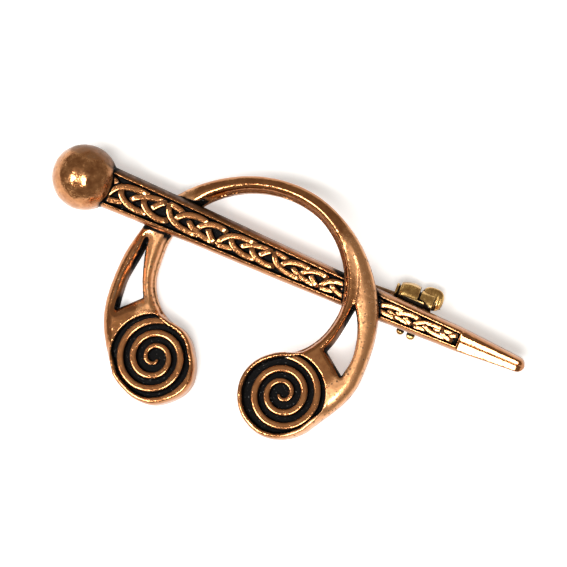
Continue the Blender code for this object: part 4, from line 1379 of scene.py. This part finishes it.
everything = addObject("everything", joined("everything", [
    castingMesh, barSkin, ribbonMesh, coilMesh, housingSkin, sleeveSkin]))
ageTree = ageingTree()
cast = copperFinish, "brooch_casting", "brooch", "antiqued_copper"
for name, mesh, rule, (finish, node, rider, slot) in (
        # name, mesh, rule for its dirt, painted shade and highlights, then its finish, the node it stands
        # for, the body it rides and its slot
        ("brooch_casting_aged", castingMesh, castingDirt, cast),
        ("bar_aged", barSkin, castingDirt, cast),
        ("interlace", ribbonMesh, flankDirt, cast),
        ("spirals", coilMesh, flankDirt, cast),
        ("catch_housing_rolled", housingSkin, grime, (brassFinish, "catch_housing", "brooch", "catch_brass")),
        ("catch_sleeve_ribbed", sleeveSkin, grime, (brassFinish, "catch_sleeve", "sleeve", "catch_brass"))):
    mesh = aged(name, mesh, ageTree, everything, rule, finish)
    mesh.transform(Matrix.Scale(mm, 4))
    mesh.shade_smooth()
    putInPlace(name, mesh, node, rider, slot)
bpy.data.objects.remove(everything)
report("aged pieces placed")

for name, node, rider, finish, slot in (
        ("hinge_bracket_soft", "hinge_bracket", "brooch", brassFinish, "catch_brass"),
        ("hinge_rivet_soft", "hinge_rivet", "brooch", brassFinish, "catch_brass"),
        ("needle_soft", "needle", "needle", wireFinish, "needle_wire")):
    mesh = softened(name, node, findings["edge"])
    mesh.materials.append(finish)
    putInPlace(name, mesh, node, rider, slot)
report("findings placed")

# Table, lights and camera

view = {
    "tilt": 9.5,            # lens off the vertical, in degrees
    "turn": 23.823,         # the picture's right, from the bar
    "aim": (0.53, 5.32, 4.0),
    "distance": 300.0,
    "lens": 127.07,
    "tableReach": 1.5,      # in metres, to each side
}

lights = {
    # name: picture's right, picture's up and height in metres, size, power, colour
    "key": ((-0.03, -0.19, 0.41), 0.17, 1.4, (1.0, 0.99, 0.97)),
    "side": ((-0.28, -0.09, 0.35), 0.18, 1.4, (1.0, 0.99, 0.97)),
    "fill": ((-0.22, 0.03, 0.48), 0.45, 0.10, (1.0, 0.97, 0.92)),
}

turn, tilt = math.radians(view["turn"]), math.radians(view["tilt"])
viewRight = Vector((math.cos(turn), math.sin(turn), 0))
viewUp = Vector((-math.sin(turn), math.cos(turn), 0))
viewBack = -viewUp * math.sin(tilt) + Vector((0, 0, 1)) * math.cos(tilt)
aim = Vector(view["aim"]) * mm
cameraData = bpy.data.cameras.new("camera")
cameraData.lens = view["lens"]
cameraData.sensor_width = 36.0
cameraData.clip_start = 0.01
cameraData.clip_end = 10.0
scene.camera = addObject("camera", cameraData)
scene.camera.matrix_world = placeFrom(aim + viewBack * view["distance"] * mm, viewRight, viewBack)


def tableMaterial():
    # pale, lifted a little for the camera only, and clear from below
    material, tree, shader, make = newMaterial("whiteTable")
    clouds = make("TexNoise", {"Vector": make("TexCoord").outputs["Object"], "Scale": 60.0})
    seen = make("LightPath").outputs["Is Camera Ray"]
    feed(tree, shader, {
        "Base Color": ramp(make, clouds, ((0.3, (0.90, 0.90, 0.90)), (0.7, (0.92, 0.92, 0.92)))),
        "Roughness": 0.7,
        "Specular IOR Level": 0.1,
        "Emission Color": (0.97, 0.985, 1.0, 1.0),
        "Emission Strength": make("Math", {0: seen, 1: 0.43}, operation="MULTIPLY")})
    back = make("NewGeometry").outputs["Backfacing"]
    feed(tree, tree.nodes["Material Output"], {0: make("MixShader", {
        0: back, 1: shader, 2: make("BsdfTransparent")})})
    return material


reach = view["tableReach"]
corners = [(x * reach, y * reach, 0) for x, y in ((-1, -1), (1, -1), (1, 1), (-1, 1))]
table = addObject("table", meshFrom("table", corners, [(0, 1, 2, 3)]))
table.data.materials.append(tableMaterial())

for name, (spot, size, power, colour) in lights.items():
    data = bpy.data.lights.new(name, "AREA")
    data.shape = "DISK"
    data.size = size
    data.energy = power
    data.color = colour
    lamp = addObject(name, data)
    lamp.location = viewRight * spot[0] + viewUp * spot[1] + Vector((0, 0, spot[2]))
    lamp.rotation_euler = (aim - lamp.location).to_track_quat("-Z", "Y").to_euler()

world = bpy.data.worlds.new("studio")
world.use_nodes = True
feed(world.node_tree, world.node_tree.nodes["Background"], {0: (1.0, 0.86, 0.68, 1.0), 1: 0.25})
scene.world = world
scene.view_settings.view_transform = "Standard"
report("studio set")
